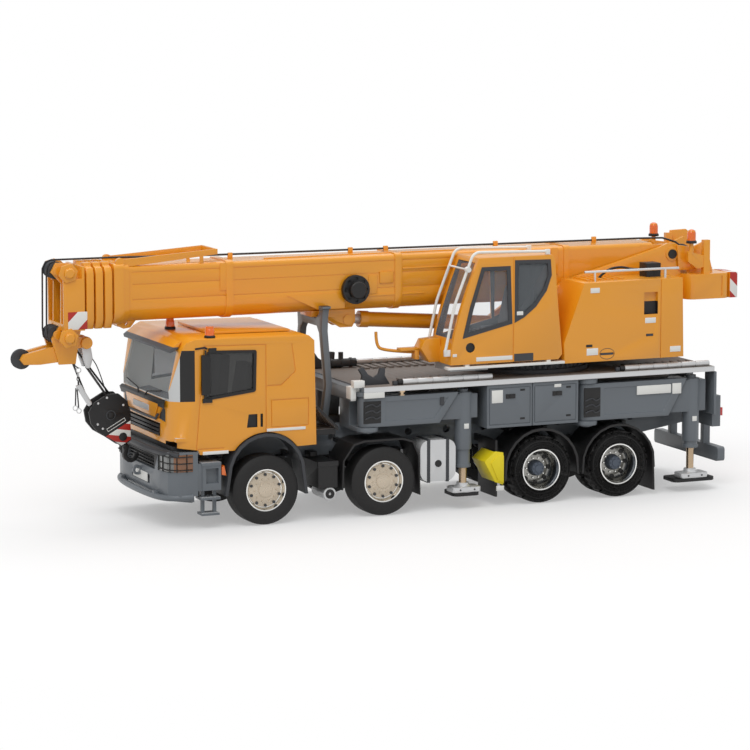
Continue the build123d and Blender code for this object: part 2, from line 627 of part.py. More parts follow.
with BuildPart() as slewing_ring:
    flange_radius = ring_radius + 1.0
    rod((slew_x, 0, rail_top_z), (slew_x, 0, deck_bottom_z), rail_inner_y - 0.2)
    rod((slew_x, 0, deck_bottom_z), (slew_x, 0, 41.4), flange_radius)
    rod((slew_x, 0, 41.4), (slew_x, 0, ring_top_z), ring_radius)
    tooth_count = 60
    with BuildSketch(Plane.XY.offset(41.8)):
        with Locations((slew_x, 0)):
            with PolarLocations(ring_radius, tooth_count):
                Rectangle(1.0, 0.9)
    extrude(amount=1.2)
    bolt_count = 24
    with BuildSketch(Plane.XY.offset(41.4)):
        with Locations((slew_x, 0)):
            with PolarLocations(ring_radius + 0.55, bolt_count, start_angle=7.5):
                RegularPolygon(0.3, 6)
    extrude(amount=0.25)
    rod((slew_x, 0, rail_top_z - 1), (slew_x, 0, ring_top_z + 1), 3.0, Mode.SUBTRACT)


# Truck cab

cab_side = (
    (-77.8, 25.4),
    (-78.7, 28.0),
    (-78.6, 38.4),
    (-74.6, 54.4),
    (-73.2, 56.6),
    (-70.6, 57.7),
    (-34.0, cab_roof_z),
    (cab_rear_x, 55.6),
    (-31.6, 23.7),
    (-61.0, 22.9),
    (-69.2, 22.9),
    (-69.8, 24.3),
)
cab_front_x = -78.7


def cab_plan(shrink):
    """Give the cab's plan outline, rounded at its front corners."""
    half = cab_half_width - shrink
    front = cab_front_x + shrink
    rear = cab_rear_x + 1 - shrink
    return (
        (rear, -half), (front + 7.6, -half), (front + 3.6, -half + 1.0), (front + 1.2, -half + 3.4),
        (front + 0.3, -half + 8.0), (front, -half + 14.0), (front, half - 14.0), (front + 0.3, half - 8.0),
        (front + 1.2, half - 3.4), (front + 3.6, half - 1.0), (front + 7.6, half), (rear, half),
    )


def cab_body(shrink):
    """Build the cab's outside, or its inside when shrunk by a wall."""
    outline = []
    for x, z in cab_side:
        new_x = x + shrink * (1 if x < -55.0 else -1)
        new_z = z + shrink * (1 if z < 40.0 else -1)
        outline.append((new_x, new_z))
    side_plate(outline, -cab_half_width + shrink, cab_half_width - shrink)
    with BuildSketch(Plane.XY.offset(20)) as plan:
        with BuildLine() as edge:
            Polyline(*cab_plan(shrink), close=True)
        make_face(edge.line)
    extrude(plan.sketch, amount=40, mode=Mode.INTERSECT)


side_window = ((-66.0, 54.0), (-51.2, 53.5), (-51.5, 41.2), (-67.6, 39.4))
screen_half = cab_half_width - 4.8

with BuildPart() as cab_inside:
    cab_body(cab_wall)

with BuildPart() as truck_cab:
    cab_body(0)
    add(cab_inside.part, mode=Mode.SUBTRACT)
    block(-78.0, cab_rear_x + 2, 1.8 - cab_half_width, cab_half_width - 1.8, 20.0, rail_top_z, Mode.SUBTRACT)
    block(-76.6, cab_rear_x - 0.2, -cab_half_width + 0.5, cab_half_width - 0.5, rail_top_z, cab_floor_z)
    side_plate(side_window, -body_half_width - 1, body_half_width + 1, Mode.SUBTRACT)
    screen = ((-screen_half - 0.8, 39.4), (-screen_half, 53.8), (screen_half, 53.8), (screen_half + 0.8, 39.4))
    front_plate(screen, -82.0, -70.0, Mode.SUBTRACT)
    block(-61.6, -34.6, -body_half_width - 1, body_half_width + 1, 20.0, 23.5, Mode.SUBTRACT)
    well_inner_y = body_half_width - 8.4
    for side in (-1, 1):
        rod((-48.0, side * well_inner_y, 15.7), (-48.0, side * (body_half_width + 1), 15.7),
            12.5 + seat_gap, Mode.SUBTRACT)
        face_y = side * cab_half_width
        side_groove(((-67.7, 55.6), (-70.4, 24.6), (-61.6, 24.6)), face_y)
        side_groove(((-67.7, 55.6), (-48.0, 55.2), (-48.0, 28.0)), face_y)
        side_groove(((-46.2, 29.9), (-46.2, 38.1), (-34.2, 38.1), (-34.2, 29.9), (-46.2, 29.9)), face_y)
        side_groove(((-47.8, 42.6), (-43.0, 42.6), (-38.4, 46.6), (-39.6, 55.0)), face_y)
        pocket_out = side * (cab_half_width + 0.5)
        side_plate(((-53.6, 34.2), (-49.0, 34.2), (-49.0, 30.2), (-54.2, 30.2)), side * (cab_half_width - 0.7),
                   pocket_out, Mode.SUBTRACT)
        block(-50.8, -49.8, side * (cab_half_width - 0.8), side * cab_half_width, 30.2, 34.2)
    grille_half = cab_half_width - 9.5
    block(-80.0, cab_front_x + 0.6, -grille_half, grille_half, 27.8, 31.8, Mode.SUBTRACT)
    for side in (-1, 1):
        vent = ((side * (grille_half + 1.5), 36.8), (side * (cab_half_width - 4.0), 36.0),
                (side * (cab_half_width - 4.4), 32.4), (side * (grille_half - 2.0), 33.0),
                (side * (grille_half - 1.2), 34.4))
        front_plate(vent, -80.0, cab_front_x + 0.7, Mode.SUBTRACT)

with BuildPart() as truck_cab_glazing:
    pane_y = cab_half_width - 0.35
    pane = ((-65.8, 53.8), (-51.4, 53.3), (-51.7, 41.4), (-67.4, 39.6))
    for side in (-1, 1):
        side_plate(pane, side * (pane_y - glass_thickness), side * pane_y)
    glass_plane = ((-77.9, 39.6), (-74.4, 53.6), (-73.9, 53.6), (-77.4, 39.6))
    side_plate(glass_plane, -screen_half + 0.2, screen_half - 0.2)
    for side in (-1, 1):
        block(-78.3, -77.7, side * (lamp_inner_y + 0.1), side * (bumper_y - 2.9), 17.9, 23.1)

with BuildPart() as truck_cab_interior:
    for side in (-1, 1):
        seat = ((-62.0, cab_floor_z), (-62.0, 35.0), (-52.6, 35.0), (-50.4, 48.0), (-47.8, 48.0), (-49.4, cab_floor_z))
        side_plate(seat, side * 6.0, side * (cab_half_width - 8.5))
    dash = ((-76.4, 37.4), (-70.0, 38.4), (-69.4, 35.0), (-73.0, 30.0), (-73.0, cab_floor_z), (-76.4, cab_floor_z))
    dash_half = cab_half_width - 6.0
    side_plate(dash, -dash_half, dash_half)
    rod((-70.2, -11.0, 37.4), (-66.2, -11.0, 40.4), 0.5)
    rod((-66.4, -11.0, 40.2), (-66.0, -11.0, 40.5), 3.4)
    back_half = cab_half_width - 2.4
    block(cab_rear_x - 1.4, cab_rear_x - 2.0, -back_half, back_half, cab_floor_z, 54.0)

with BuildPart() as truck_cab_trim:
    for side in (-1, 1):
        mirror_y = side * (cab_half_width + 0.5)
        block(-72.4, -69.6, side * (cab_half_width + 0.1), side * (cab_half_width + 0.9), 41.0, 53.0)
        rod((-71.0, side * (cab_half_width + 0.3), 54.4), (-71.0, mirror_y, 52.4), 0.3)
        rod((-71.4, side * (cab_half_width + 0.3), 39.8), (-71.0, mirror_y, 41.6), 0.3)
        block(-70.0, -67.6, side * (cab_half_width + 0.05), side * (cab_half_width + 0.6), 53.8, 55.0)
        block(-72.0, -69.0, side * (cab_half_width + 0.05), side * (cab_half_width + 0.6), 38.6, 39.8)
    visor_half = cab_half_width - 3.5
    visor = ((-75.0, 54.5), (-77.2, 53.6), (-77.4, 54.5), (-74.0, 57.0), (-73.7, 56.9))
    side_plate(visor, -visor_half, visor_half)
    bar_half = grille_half - 0.4
    for bar in range(3):
        block(cab_front_x - 0.2, cab_front_x + 0.5, -bar_half, bar_half, 28.1 + 1.2 * bar, 28.9 + 1.2 * bar)
    for rib in range(5):
        rib_y = -bar_half + 2 * bar_half * rib / 4
        block(cab_front_x + 0.1, cab_front_x + 0.5, rib_y - 0.2, rib_y + 0.2, 28.1, 31.3)
    cowl = ((cab_front_x - 0.6, 38.6), (cab_front_x - 0.05, 36.8), (cab_front_x - 0.05, 38.3), (-78.4, 39.3))
    side_plate(cowl, -screen_half, screen_half)
    for beacon_x, beacon_y in ((-68.7, 2.5), (-64.6, 3.5 - cab_half_width)):
        rod((beacon_x, beacon_y, cab_roof_z + 0.5), (beacon_x, beacon_y, cab_roof_z + 3.8), 1.2)
    hatch = ((-62.0, 57.75), (-62.0, 58.5), (-36.0, 58.0), (-36.0, 57.4), (-43.0, 57.5))
    side_plate(hatch, -14.0, 14.0)


# Steered and driven wheels

with BuildPart() as knuckle_1_left:
    knuckle(axle_1_x, -1)

with BuildPart() as knuckle_1_right:
    knuckle(axle_1_x, 1)

with BuildPart() as knuckle_2_left:
    knuckle(axle_2_x, -1)

with BuildPart() as knuckle_2_right:
    knuckle(axle_2_x, 1)

with BuildPart() as wheel_1_left:
    front_wheel(axle_1_x, -1)

with BuildPart() as wheel_1_right:
    front_wheel(axle_1_x, 1)

with BuildPart() as wheel_2_left:
    front_wheel(axle_2_x, -1)

with BuildPart() as wheel_2_right:
    front_wheel(axle_2_x, 1)

with BuildPart() as wheel_3_left:
    twin_wheel(axle_3_x, -1)

with BuildPart() as wheel_3_right:
    twin_wheel(axle_3_x, 1)

with BuildPart() as wheel_4_left:
    twin_wheel(axle_4_x, -1)

with BuildPart() as wheel_4_right:
    twin_wheel(axle_4_x, 1)


# Outriggers

def outrigger_beam(pivot_x, sleeve_end, low_z, high_z, side):
    """Build the folding sleeve: a hollow beam with an eye about its upright pin."""
    y_in = side * (outrigger_y - beam_half_width)
    y_out = side * (outrigger_y + beam_half_width)
    sleeve = (
        (pivot_x, low_z), (pivot_x, high_z), (sleeve_end, high_z), (sleeve_end - 6.5, low_z),
    )
    side_plate(sleeve, y_in, y_out)
    rod((pivot_x, side * outrigger_y, low_z), (pivot_x, side * outrigger_y, high_z), beam_half_width)
    panel_bottom = low_z + 1.6
    panel_top = high_z - 1.6
    panel = ((pivot_x + 5.0, panel_bottom), (pivot_x + 5.0, panel_top), (sleeve_end - 3.6, panel_top),
             (sleeve_end - 8.4, panel_bottom))
    side_plate(panel, y_out - side * 0.25, y_out + side, Mode.SUBTRACT)
    block(pivot_x + 4.5, sleeve_end + 1, y_in + side * beam_wall, y_out - side * beam_wall, low_z + 0.7,
          high_z - 0.7, Mode.SUBTRACT)
    rod((pivot_x, side * outrigger_y, low_z - 1), (pivot_x, side * outrigger_y, high_z + 1),
        pivot_pin_radius + running_clearance, Mode.SUBTRACT)


def outrigger_slide(inner_x, outer_x, low_z, high_z, jack_x, tube_bottom_z, side):
    """Build the sliding beam with the jack's outer tube at its end."""
    y_in = side * (outrigger_y - beam_half_width + beam_wall + slide_clearance)
    y_out = side * (outrigger_y + beam_half_width - beam_wall - slide_clearance)
    low = low_z + 0.7 + slide_clearance
    high = high_z - 0.7 - slide_clearance
    block(inner_x, outer_x, y_in, y_out, low, high)
    y = side * outrigger_y
    rod((jack_x, y, low_z - 9.0), (jack_x, y, high + 0.5), 2.7)
    rod((jack_x, y, tube_bottom_z), (jack_x, y, high), 2.2)
    rod((jack_x, y, tube_bottom_z), (jack_x, y, tube_bottom_z + 1.0), 2.5)
    rod((jack_x, y, high + 0.5), (jack_x, y, high_z + 0.6), 1.6)
    rod((jack_x, y, tube_bottom_z - 1), (jack_x, y, high - 1.5), 1.2 + running_clearance, Mode.SUBTRACT)


def outrigger_jack(jack_x, pad_length, pad_bottom_z, rod_top_z, side):
    """Build the jack's rod with its foot and pad."""
    y = side * outrigger_y
    rod((jack_x, y, pad_bottom_z + 1), (jack_x, y, rod_top_z), 1.2)
    foot = Plane(origin=(jack_x, y, pad_bottom_z), x_dir=(1, 0, 0), z_dir=(0, -1, 0))
    with BuildSketch(foot) as outline:
        with BuildLine() as edge:
            Polyline((0, 1.0), (3.6, 1.0), (3.4, 2.0), (2.0, 3.2), (2.0, 3.8), (0, 3.8), close=True)
        make_face(edge.line)
    revolve(outline.sketch, axis=Axis((jack_x, y, 0), (0, 0, 1)))
    with BuildSketch(Plane.XY.offset(pad_bottom_z)) as outline:
        with Locations((jack_x, side * (outrigger_y - 0.8))):
            RectangleRounded(pad_length, 9.0, 2.0)
    extrude(outline.sketch, amount=1.1)


front_sleeve_end = 16.0
rear_sleeve_end = 96.0
front_pad_z = 4.3
rear_pad_z = 3.3
rod_top = 33.0

with BuildPart() as outrigger_beam_front_left:
    outrigger_beam(front_pivot_x, front_sleeve_end, front_beam_low_z, front_beam_high_z, -1)

with BuildPart() as outrigger_beam_front_right:
    outrigger_beam(front_pivot_x, front_sleeve_end, front_beam_low_z, front_beam_high_z, 1)

with BuildPart() as outrigger_beam_rear_left:
    outrigger_beam(rear_pivot_x, rear_sleeve_end, rear_beam_low_z, rear_beam_high_z, -1)

with BuildPart() as outrigger_beam_rear_right:
    outrigger_beam(rear_pivot_x, rear_sleeve_end, rear_beam_low_z, rear_beam_high_z, 1)

with BuildPart() as outrigger_slide_front_left:
    outrigger_slide(-8.0, 22.7, front_beam_low_z, front_beam_high_z, jack_x_front, 13.0, -1)

with BuildPart() as outrigger_slide_front_right:
    outrigger_slide(-8.0, 22.7, front_beam_low_z, front_beam_high_z, jack_x_front, 13.0, 1)

with BuildPart() as outrigger_slide_rear_left:
    outrigger_slide(67.5, 103.2, rear_beam_low_z, rear_beam_high_z, jack_x_rear, 14.0, -1)

with BuildPart() as outrigger_slide_rear_right:
    outrigger_slide(67.5, 103.2, rear_beam_low_z, rear_beam_high_z, jack_x_rear, 14.0, 1)

with BuildPart() as outrigger_jack_front_left:
    outrigger_jack(jack_x_front, 9.0, front_pad_z, rod_top, -1)

with BuildPart() as outrigger_jack_front_right:
    outrigger_jack(jack_x_front, 9.0, front_pad_z, rod_top, 1)

with BuildPart() as outrigger_jack_rear_left:
    outrigger_jack(jack_x_rear, 15.0, rear_pad_z, rod_top, -1)

with BuildPart() as outrigger_jack_rear_right:
    outrigger_jack(jack_x_rear, 15.0, rear_pad_z, rod_top, 1)


# Superstructure

table_radius = ring_radius + 0.6
tail_front_x = 101.7
tail_low_z = 60.4
tail_high_z = 68.5
winch_x = tail_end_x - 10.6
winch_z = 72.2
winch_radius = 2.6

with BuildPart() as turntable_frame:
    rod((slew_x, 0, table_bottom_z), (slew_x, 0, table_top_z), table_radius)
    block(slew_x - 8, 92.0, -cheek_outer_y, cheek_outer_y, table_bottom_z, table_top_z)
    cheek = (
        (36.0, table_top_z - 0.2), (37.0, 53.0), (60.0, 68.0), (94.0, 77.2), (97.0, 78.4), (100.4, 78.0),
        (tail_front_x, 75.6), (tail_front_x, tail_low_z), (90.0, table_top_z - 0.2),
    )
    side_plate(cheek, -cheek_outer_y, -cheek_inner_y)
    side_plate(cheek, cheek_inner_y, cheek_outer_y)
    for side in (-1, 1):
        rod((luff_x, side * cheek_outer_y, luff_z), (luff_x, side * (cheek_outer_y + 0.5), luff_z), 2.2)
    rod((luff_x, -cheek_outer_y - 0.9, luff_z), (luff_x, cheek_outer_y + 0.9, luff_z), 1.5)
    rod((cylinder_base_x, -cheek_outer_y, cylinder_base_z), (cylinder_base_x, cheek_outer_y, cylinder_base_z), 1.0)
    tail_length = tail_end_x - 2.6 - tail_front_x
    with BuildSketch(Plane.XY.offset(tail_low_z)):
        with Locations(((tail_front_x + tail_end_x - 2.6) / 2, 0)):
            RectangleRounded(tail_length, 28.0, 2.8)
    extrude(amount=tail_high_z - tail_low_z)
    both_sides(winch_x + 4.4, winch_x + 4.9, 13.7, 15.0, tail_low_z + 0.8, tail_high_z - 0.8, Mode.SUBTRACT)
    block(winch_x - 5.4, winch_x + 5.4, -6.6, 6.6, tail_low_z + 2.0, tail_high_z + 0.5, Mode.SUBTRACT)
    block(88.0, tail_front_x + 0.5, -cheek_inner_y - 0.5, cheek_inner_y + 0.5, 46.0, 52.0)
    for side in (-1, 1):
        bracket = ((winch_x - 4.6, tail_high_z - 0.2), (winch_x - 3.2, 76.6), (winch_x + 2.0, 78.6),
                   (winch_x + 4.6, tail_high_z - 0.2))
        side_plate(bracket, side * 7.0, side * 8.0)
        rod((winch_x, side * 6.2, winch_z), (winch_x, side * 8.6, winch_z), 1.0)
        block(tail_end_x - 2.7, tail_end_x, side * 3.0, side * 13.6, tail_low_z, tail_high_z + 0.1)
        wing = ((102.0, 76.0), (108.0, 74.4), (108.0, 70.8), (105.4, 70.2), (102.0, 72.6))
        side_plate(wing, side * 12.2, side * 13.4)
        block(107.6, 109.8, side * 11.8, side * 13.6, tail_high_z - 0.2, 79.4)
        rod((103.4, side * 12.8, 75.0), (103.4, side * 12.8, 79.0), 0.7)
        rod((103.4, side * 12.8, 79.0), (103.4, side * 12.8, 82.6), 1.2)

with BuildPart() as machinery_house:
    cover = (
        (52.2, table_bottom_z - 0.1), (51.9, 50.2), (58.9, 68.8), (93.7, 69.1), (94.3, table_bottom_z - 0.1),
    )
    side_plate(cover, -body_half_width, -cheek_outer_y)
    slot_floor = body_half_width - 1.6
    block(80.0, 84.9, -body_half_width - 1, -slot_floor, 58.0, 65.0, Mode.SUBTRACT)
    side_groove(((86.0, 43.0), (86.0, 70.0)), -body_half_width)
    side_groove(((64.6, 46.2), (69.4, 46.2)), -body_half_width, 0.7, 0.5)
    side_groove(((80.8, 51.4), (83.4, 51.4)), -body_half_width, 0.8, 0.5)
    rod((slew_x, 0, 42.0), (slew_x, 0, table_top_z + seat_gap), table_radius + seat_gap, Mode.SUBTRACT)
    rail_y = body_half_width - 3.0
    rod((60.4, -rail_y, 71.9), (93.8, -rail_y, 71.9), 0.4)
    for post_x in (64.0, 89.0):
        rod((post_x, -rail_y, 68.4), (post_x, -rail_y, 71.9), 0.4)
    block(84.0, 89.0, -body_half_width + 6.0, -body_half_width + 11.0, 68.4, 73.4)
    for fin in range(6):
        block(62.0 + 2.4 * fin, 63.2 + 2.4 * fin, -body_half_width + 4.5, -cheek_outer_y - 2.0, 68.4, 69.4)
    mirror(about=Plane.XZ)

crane_cab_side = (
    (12.9, 45.4),
    (13.2, 49.5),
    (14.3, 55.0),
    (16.2, 61.5),
    (19.0, 69.6),
    (22.5, 78.2),
    (47.6, 78.3),
    (48.6, 76.8),
    (49.8, 62.0),
    (51.3, 47.0),
    (50.0, 45.4),
)

with BuildPart() as crane_cab:
    cab_outer_y = body_half_width
    side_plate(crane_cab_side, -cab_outer_y, crane_cab_inner_y)
    room = ((14.2, 46.6), (14.4, 49.5), (15.5, 55.0), (17.4, 61.5), (20.2, 69.6), (23.3, 77.2),
            (47.2, 77.2), (47.6, 76.0), (48.7, 62.0), (50.0, 47.6), (50.0, 46.6))
    side_plate(room, -cab_outer_y + crane_cab_wall, crane_cab_inner_y - crane_cab_wall, Mode.SUBTRACT)
    door_window = ((23.4, 75.2), (33.1, 75.2), (33.8, 57.4), (17.0, 53.6), (19.4, 63.0))
    side_plate(door_window, -cab_outer_y - 1, crane_cab_inner_y + 0.5, Mode.SUBTRACT)
    rear_window = ((34.8, 77.0), (46.9, 76.8), (47.3, 72.0), (45.6, 67.2), (42.0, 62.4), (38.0, 59.4), (34.8, 57.8))
    side_plate(rear_window, -cab_outer_y - 1, crane_cab_inner_y + 0.5, Mode.SUBTRACT)
    block(12.0, 27.0, -cab_outer_y + 1.8, crane_cab_inner_y - 1.8, 53.4, 76.6, Mode.SUBTRACT)
    side_groove(((34.3, 45.0), (34.3, 78.6)), -cab_outer_y)
    rod((19.6, -cab_outer_y - 1, 50.6), (19.6, -cab_outer_y + 0.6, 50.6), 1.5, Mode.SUBTRACT)
    block(20.0, 46.0, crane_cab_inner_y, -cheek_outer_y, 46.0, 52.0)
    block(14.0, 27.0, -cab_outer_y + 2.8, crane_cab_inner_y - 1.6, 43.0, 45.5)
    nose = ((6.6, 50.0), (8.0, 52.6), (13.0, 53.0), (13.4, 49.0), (12.9, 45.6), (9.4, 45.6))
    side_plate(nose, crane_cab_inner_y - 7.4, crane_cab_inner_y - 2.0)

with BuildPart() as crane_cab_glazing:
    glass_y = cab_outer_y - 0.3
    side_plate(((23.6, 75.0), (32.9, 75.0), (33.6, 57.6), (17.3, 53.8), (19.7, 63.0)),
               -glass_y, -glass_y + 0.4)
    side_plate(((35.0, 76.8), (46.7, 76.6), (47.1, 72.0), (45.4, 67.3), (41.9, 62.6), (38.0, 59.6), (35.0, 58.0)),
               -glass_y, -glass_y + 0.4)
    screen = ((14.4, 53.6), (16.5, 61.5), (19.3, 69.6), (22.1, 76.4), (22.6, 76.4), (19.8, 69.6), (17.0, 61.5),
              (14.9, 53.6))
    side_plate(screen, -cab_outer_y + 2.0, crane_cab_inner_y - 2.0)

with BuildPart() as crane_cab_interior:
    seat = ((26.0, 46.6), (26.0, 55.0), (34.0, 55.0), (37.0, 68.0), (39.8, 68.0), (38.0, 46.6))
    side_plate(seat, -cab_outer_y + 3.5, crane_cab_inner_y - 3.6)
    block(24.0, 34.0, -cab_outer_y + 1.6, -cab_outer_y + 3.1, 46.6, 57.0)
    console = ((16.6, 46.6), (17.4, 52.0), (20.0, 56.0), (21.4, 55.4), (19.6, 50.0), (20.4, 46.6))
    side_plate(console, -cab_outer_y + 5.0, crane_cab_inner_y - 5.0)

with BuildPart() as crane_cab_guard:
    block(12.0, 52.0, -body_half_width - 0.4, -body_half_width + 2.6, 44.0, 44.8)
    for post_x in (18.0, 46.0):
        block(post_x, post_x + 1.4, -body_half_width + 0.2, -body_half_width + 2.0, 44.4, 45.4)
    guard_path = ((11.4, 49.4), (14.6, 64.0), (21.0, 80.0), (46.2, 79.4))
    for guard_y in (-cab_outer_y + 0.8, crane_cab_inner_y - 1.4):
        bent_tube([(x, guard_y, z) for x, z in guard_path], (20.0, 3.0), 0.45)
        block(11.0, 13.05, guard_y - 0.4, guard_y + 0.4, 48.2, 50.2)
        block(45.6, 47.0, guard_y - 0.5, guard_y + 0.5, 78.4, 80.0)
    rod((18.9, -cab_outer_y + 0.8, 74.75), (18.9, crane_cab_inner_y - 1.4, 74.75), 0.3)

with BuildPart() as winch_drum:
    rod((winch_x, -5.6, winch_z), (winch_x, 5.6, winch_z), winch_radius)
    for side in (-1, 1):
        rod((winch_x, side * 5.0, winch_z), (winch_x, side * 5.8, winch_z), 4.2)

reach = math.hypot(cylinder_base_x - rod_eye_x, rod_eye_z - cylinder_base_z)
aim_x = (rod_eye_x - cylinder_base_x) / reach
aim_z = (rod_eye_z - cylinder_base_z) / reach


def along(distance):
    """Give a point on the cylinder's axis, measured from its base pin."""
    return (cylinder_base_x + aim_x * distance, 0, cylinder_base_z + aim_z * distance)


with BuildPart() as luff_barrel:
    rod(along(0), along(barrel_length), barrel_radius - 0.25)
    rod(along(barrel_length - 3.0), along(barrel_length), barrel_radius)
    rod(along(0), along(4.0), barrel_radius)
    rod((cylinder_base_x, -2.4, cylinder_base_z), (cylinder_base_x, 2.4, cylinder_base_z), barrel_radius)
    rod(along(3.6), along(barrel_length + 1), rod_radius + running_clearance, Mode.SUBTRACT)
    rod((cylinder_base_x, -4, cylinder_base_z), (cylinder_base_x, 4, cylinder_base_z),
        1.0 + running_clearance, Mode.SUBTRACT)

with BuildPart() as luff_rod:
    rod(along(3.9), along(reach), rod_radius)
    rod((rod_eye_x, -2.0, rod_eye_z), (rod_eye_x, 2.0, rod_eye_z), 2.2)


# Boom

tele_half = []
half_w = boom_half_width - boom_wall
half_h = boom_half_height - boom_wall
for _ in range(4):
    half_w = half_w - slide_clearance
    half_h = half_h - slide_clearance
    tele_half.append((half_w, half_h))
    half_w = half_w - tele_wall
    half_h = half_h - tele_wall

with BuildPart() as boom_base:
    boom_tube(boom_front_x, boom_rear_x, boom_half_width, boom_half_height, boom_wall)
    inner_half = boom_half_width - boom_wall
    for band_x, band_length in ((boom_front_x, 3.2), (boom_front_x + 3.2, 1.6), (-54.0, 2.4), (2.0, 2.4), (60.5, 2.0)):
        grow = 0.9 if band_x < -80 else 0.4
        if band_x == boom_front_x + 3.2:
            grow = 0.5
        band = Plane(origin=(band_x, 0, boom_mid_z), x_dir=(0, 1, 0), z_dir=(1, 0, 0))
        with BuildSketch(band):
            boom_section(boom_half_width + grow, boom_half_height + grow)
        extrude(amount=band_length)
        with BuildSketch(band):
            boom_section(inner_half, boom_half_height - boom_wall)
        extrude(amount=band_length, mode=Mode.SUBTRACT)
    for line_z in (76.6, 72.9, 68.3):
        for side in (-1, 1):
            block(-84.0, 58.0, side * (boom_half_width - 0.15), side * (boom_half_width + 0.2), line_z, line_z + 0.25,
                  Mode.SUBTRACT)
    for side in (-1, 1):
        ear = ((88.0, 70.0), (88.0, 78.0), (98.4, 77.9), (101.4, 74.9), (98.4, 71.9), (92.0, 66.0))
        side_plate(ear, side * 5.2, side * boom_half_width)
    block(86.0, boom_rear_x - 0.2, -inner_half, inner_half, 62.4, 78.0, Mode.SUBTRACT)
    rod((luff_x, -9, luff_z), (luff_x, 9, luff_z), 1.5 + running_clearance, Mode.SUBTRACT)
    for side in (-1, 1):
        lug = ((-21.4, 62.1), (-21.4, 60.0), (-15.0, 56.2), (-11.0, 56.2), (-10.0, 57.9), (-10.0, 62.1))
        side_plate(lug, side * 2.7, side * 3.7)
        doubler = ((-34.1, 67.4), (-24.0, 62.6), (-15.0, 62.6), (-15.0, 65.6), (-17.2, 67.4))
        side_plate(doubler, side * (boom_half_width - 0.1), side * (boom_half_width + 0.3))
        rod((rod_eye_x, side * 3.6, rod_eye_z), (rod_eye_x, side * 4.1, rod_eye_z), 1.6)
        front_lug = ((-88.5, 62.0), (-87.6, 60.2), (-85.6, 59.3), (-83.4, 59.6), (-81.5, 62.0))
        side_plate(front_lug, side * 2.2, side * 3.2)
    rod((-84.9, -4.0, 60.9), (-84.9, 4.0, 60.9), 0.6, Mode.SUBTRACT)
    front_plate(((-5.0, 61.9), (-4.4, 60.0), (4.4, 60.0), (5.0, 61.9)), -25.0, -20.4)
    tray_half = boom_half_width - 0.6
    for side in (-1, 1):
        tray = ((-87.0, 78.5), (-87.0, 80.6), (-57.0, 82.6), (-56.4, 82.6), (-56.4, 81.0), (-84.0, 78.5))
        side_plate(tray, side * (tray_half - 0.7), side * tray_half)
        rod((-87.6, side * (tray_half - 1.0), 79.6), (-87.6, side * (tray_half + 0.4), 79.6), 1.5)
        block(-62.0, -61.0, side * (tray_half - 0.7), side * tray_half, 78.5, 81.2)
    block(-57.2, -56.4, -tray_half, tray_half, 81.0, 82.6)

with BuildPart() as cable_reel:
    reel_y = -boom_half_width
    rod((-11.8, reel_y, 68.4), (-11.8, reel_y - 2.6, 68.4), 2.1)
    rod((-11.8, reel_y - 0.6, 68.4), (-11.8, reel_y - 2.2, 68.4), 4.5)
    for spoke in range(8):
        angle = math.radians(45 * spoke)
        spoke_x = -11.8 + 3.3 * math.cos(angle)
        spoke_z = 68.4 + 3.3 * math.sin(angle)
        rod((spoke_x, reel_y - 1.8, spoke_z), (spoke_x, reel_y - 3.0, spoke_z), 0.55, Mode.SUBTRACT)


def head_frame(x_from, x_to, inner_half_w, inner_half_h):
    """Build the tall flanged frame at the mouth of one boom section."""
    outer = (
        (-6.6, collar_bottom_z), (-7.9, 63.0), (-7.9, 77.0), (-6.9, 78.6), (-5.2, 79.0), (-5.0, collar_top_z),
        (-2.2, collar_top_z), (-1.6, 79.0), (1.6, 79.0), (2.2, collar_top_z), (5.0, collar_top_z),
        (5.2, 79.0), (6.9, 78.6), (7.9, 77.0), (7.9, 63.0), (6.6, collar_bottom_z),
    )
    front_plate(outer, x_from, x_to)
    plane = Plane(origin=(x_from, 0, boom_mid_z), x_dir=(0, 1, 0), z_dir=(1, 0, 0))
    with BuildSketch(plane) as hollow:
        boom_section(inner_half_w, inner_half_h)
    extrude(hollow.sketch, amount=x_to - x_from, mode=Mode.SUBTRACT)


def tele_section(index, rear_x):
    """Build one middle boom section with its head frame."""
    half_w, half_h = tele_half[index]
    front_x = boom_front_x - collar_gap - collar_length - index * (collar_length + collar_gap)
    boom_tube(front_x, rear_x, half_w, half_h, tele_wall)
    head_frame(front_x, front_x + collar_length, half_w - tele_wall, half_h - tele_wall)


with BuildPart() as tele_1:
    tele_section(0, 85.0)

with BuildPart() as tele_2:
    tele_section(1, 84.0)

with BuildPart() as tele_3:
    tele_section(2, 83.0)

top_sheave = (-106.5, 77.8)
low_sheave = (-106.8, 58.6)
head_sheave_radius = 2.6
nose_sheave_radius = 3.0
nose_sheave_x = nose_tip_x + nose_sheave_radius

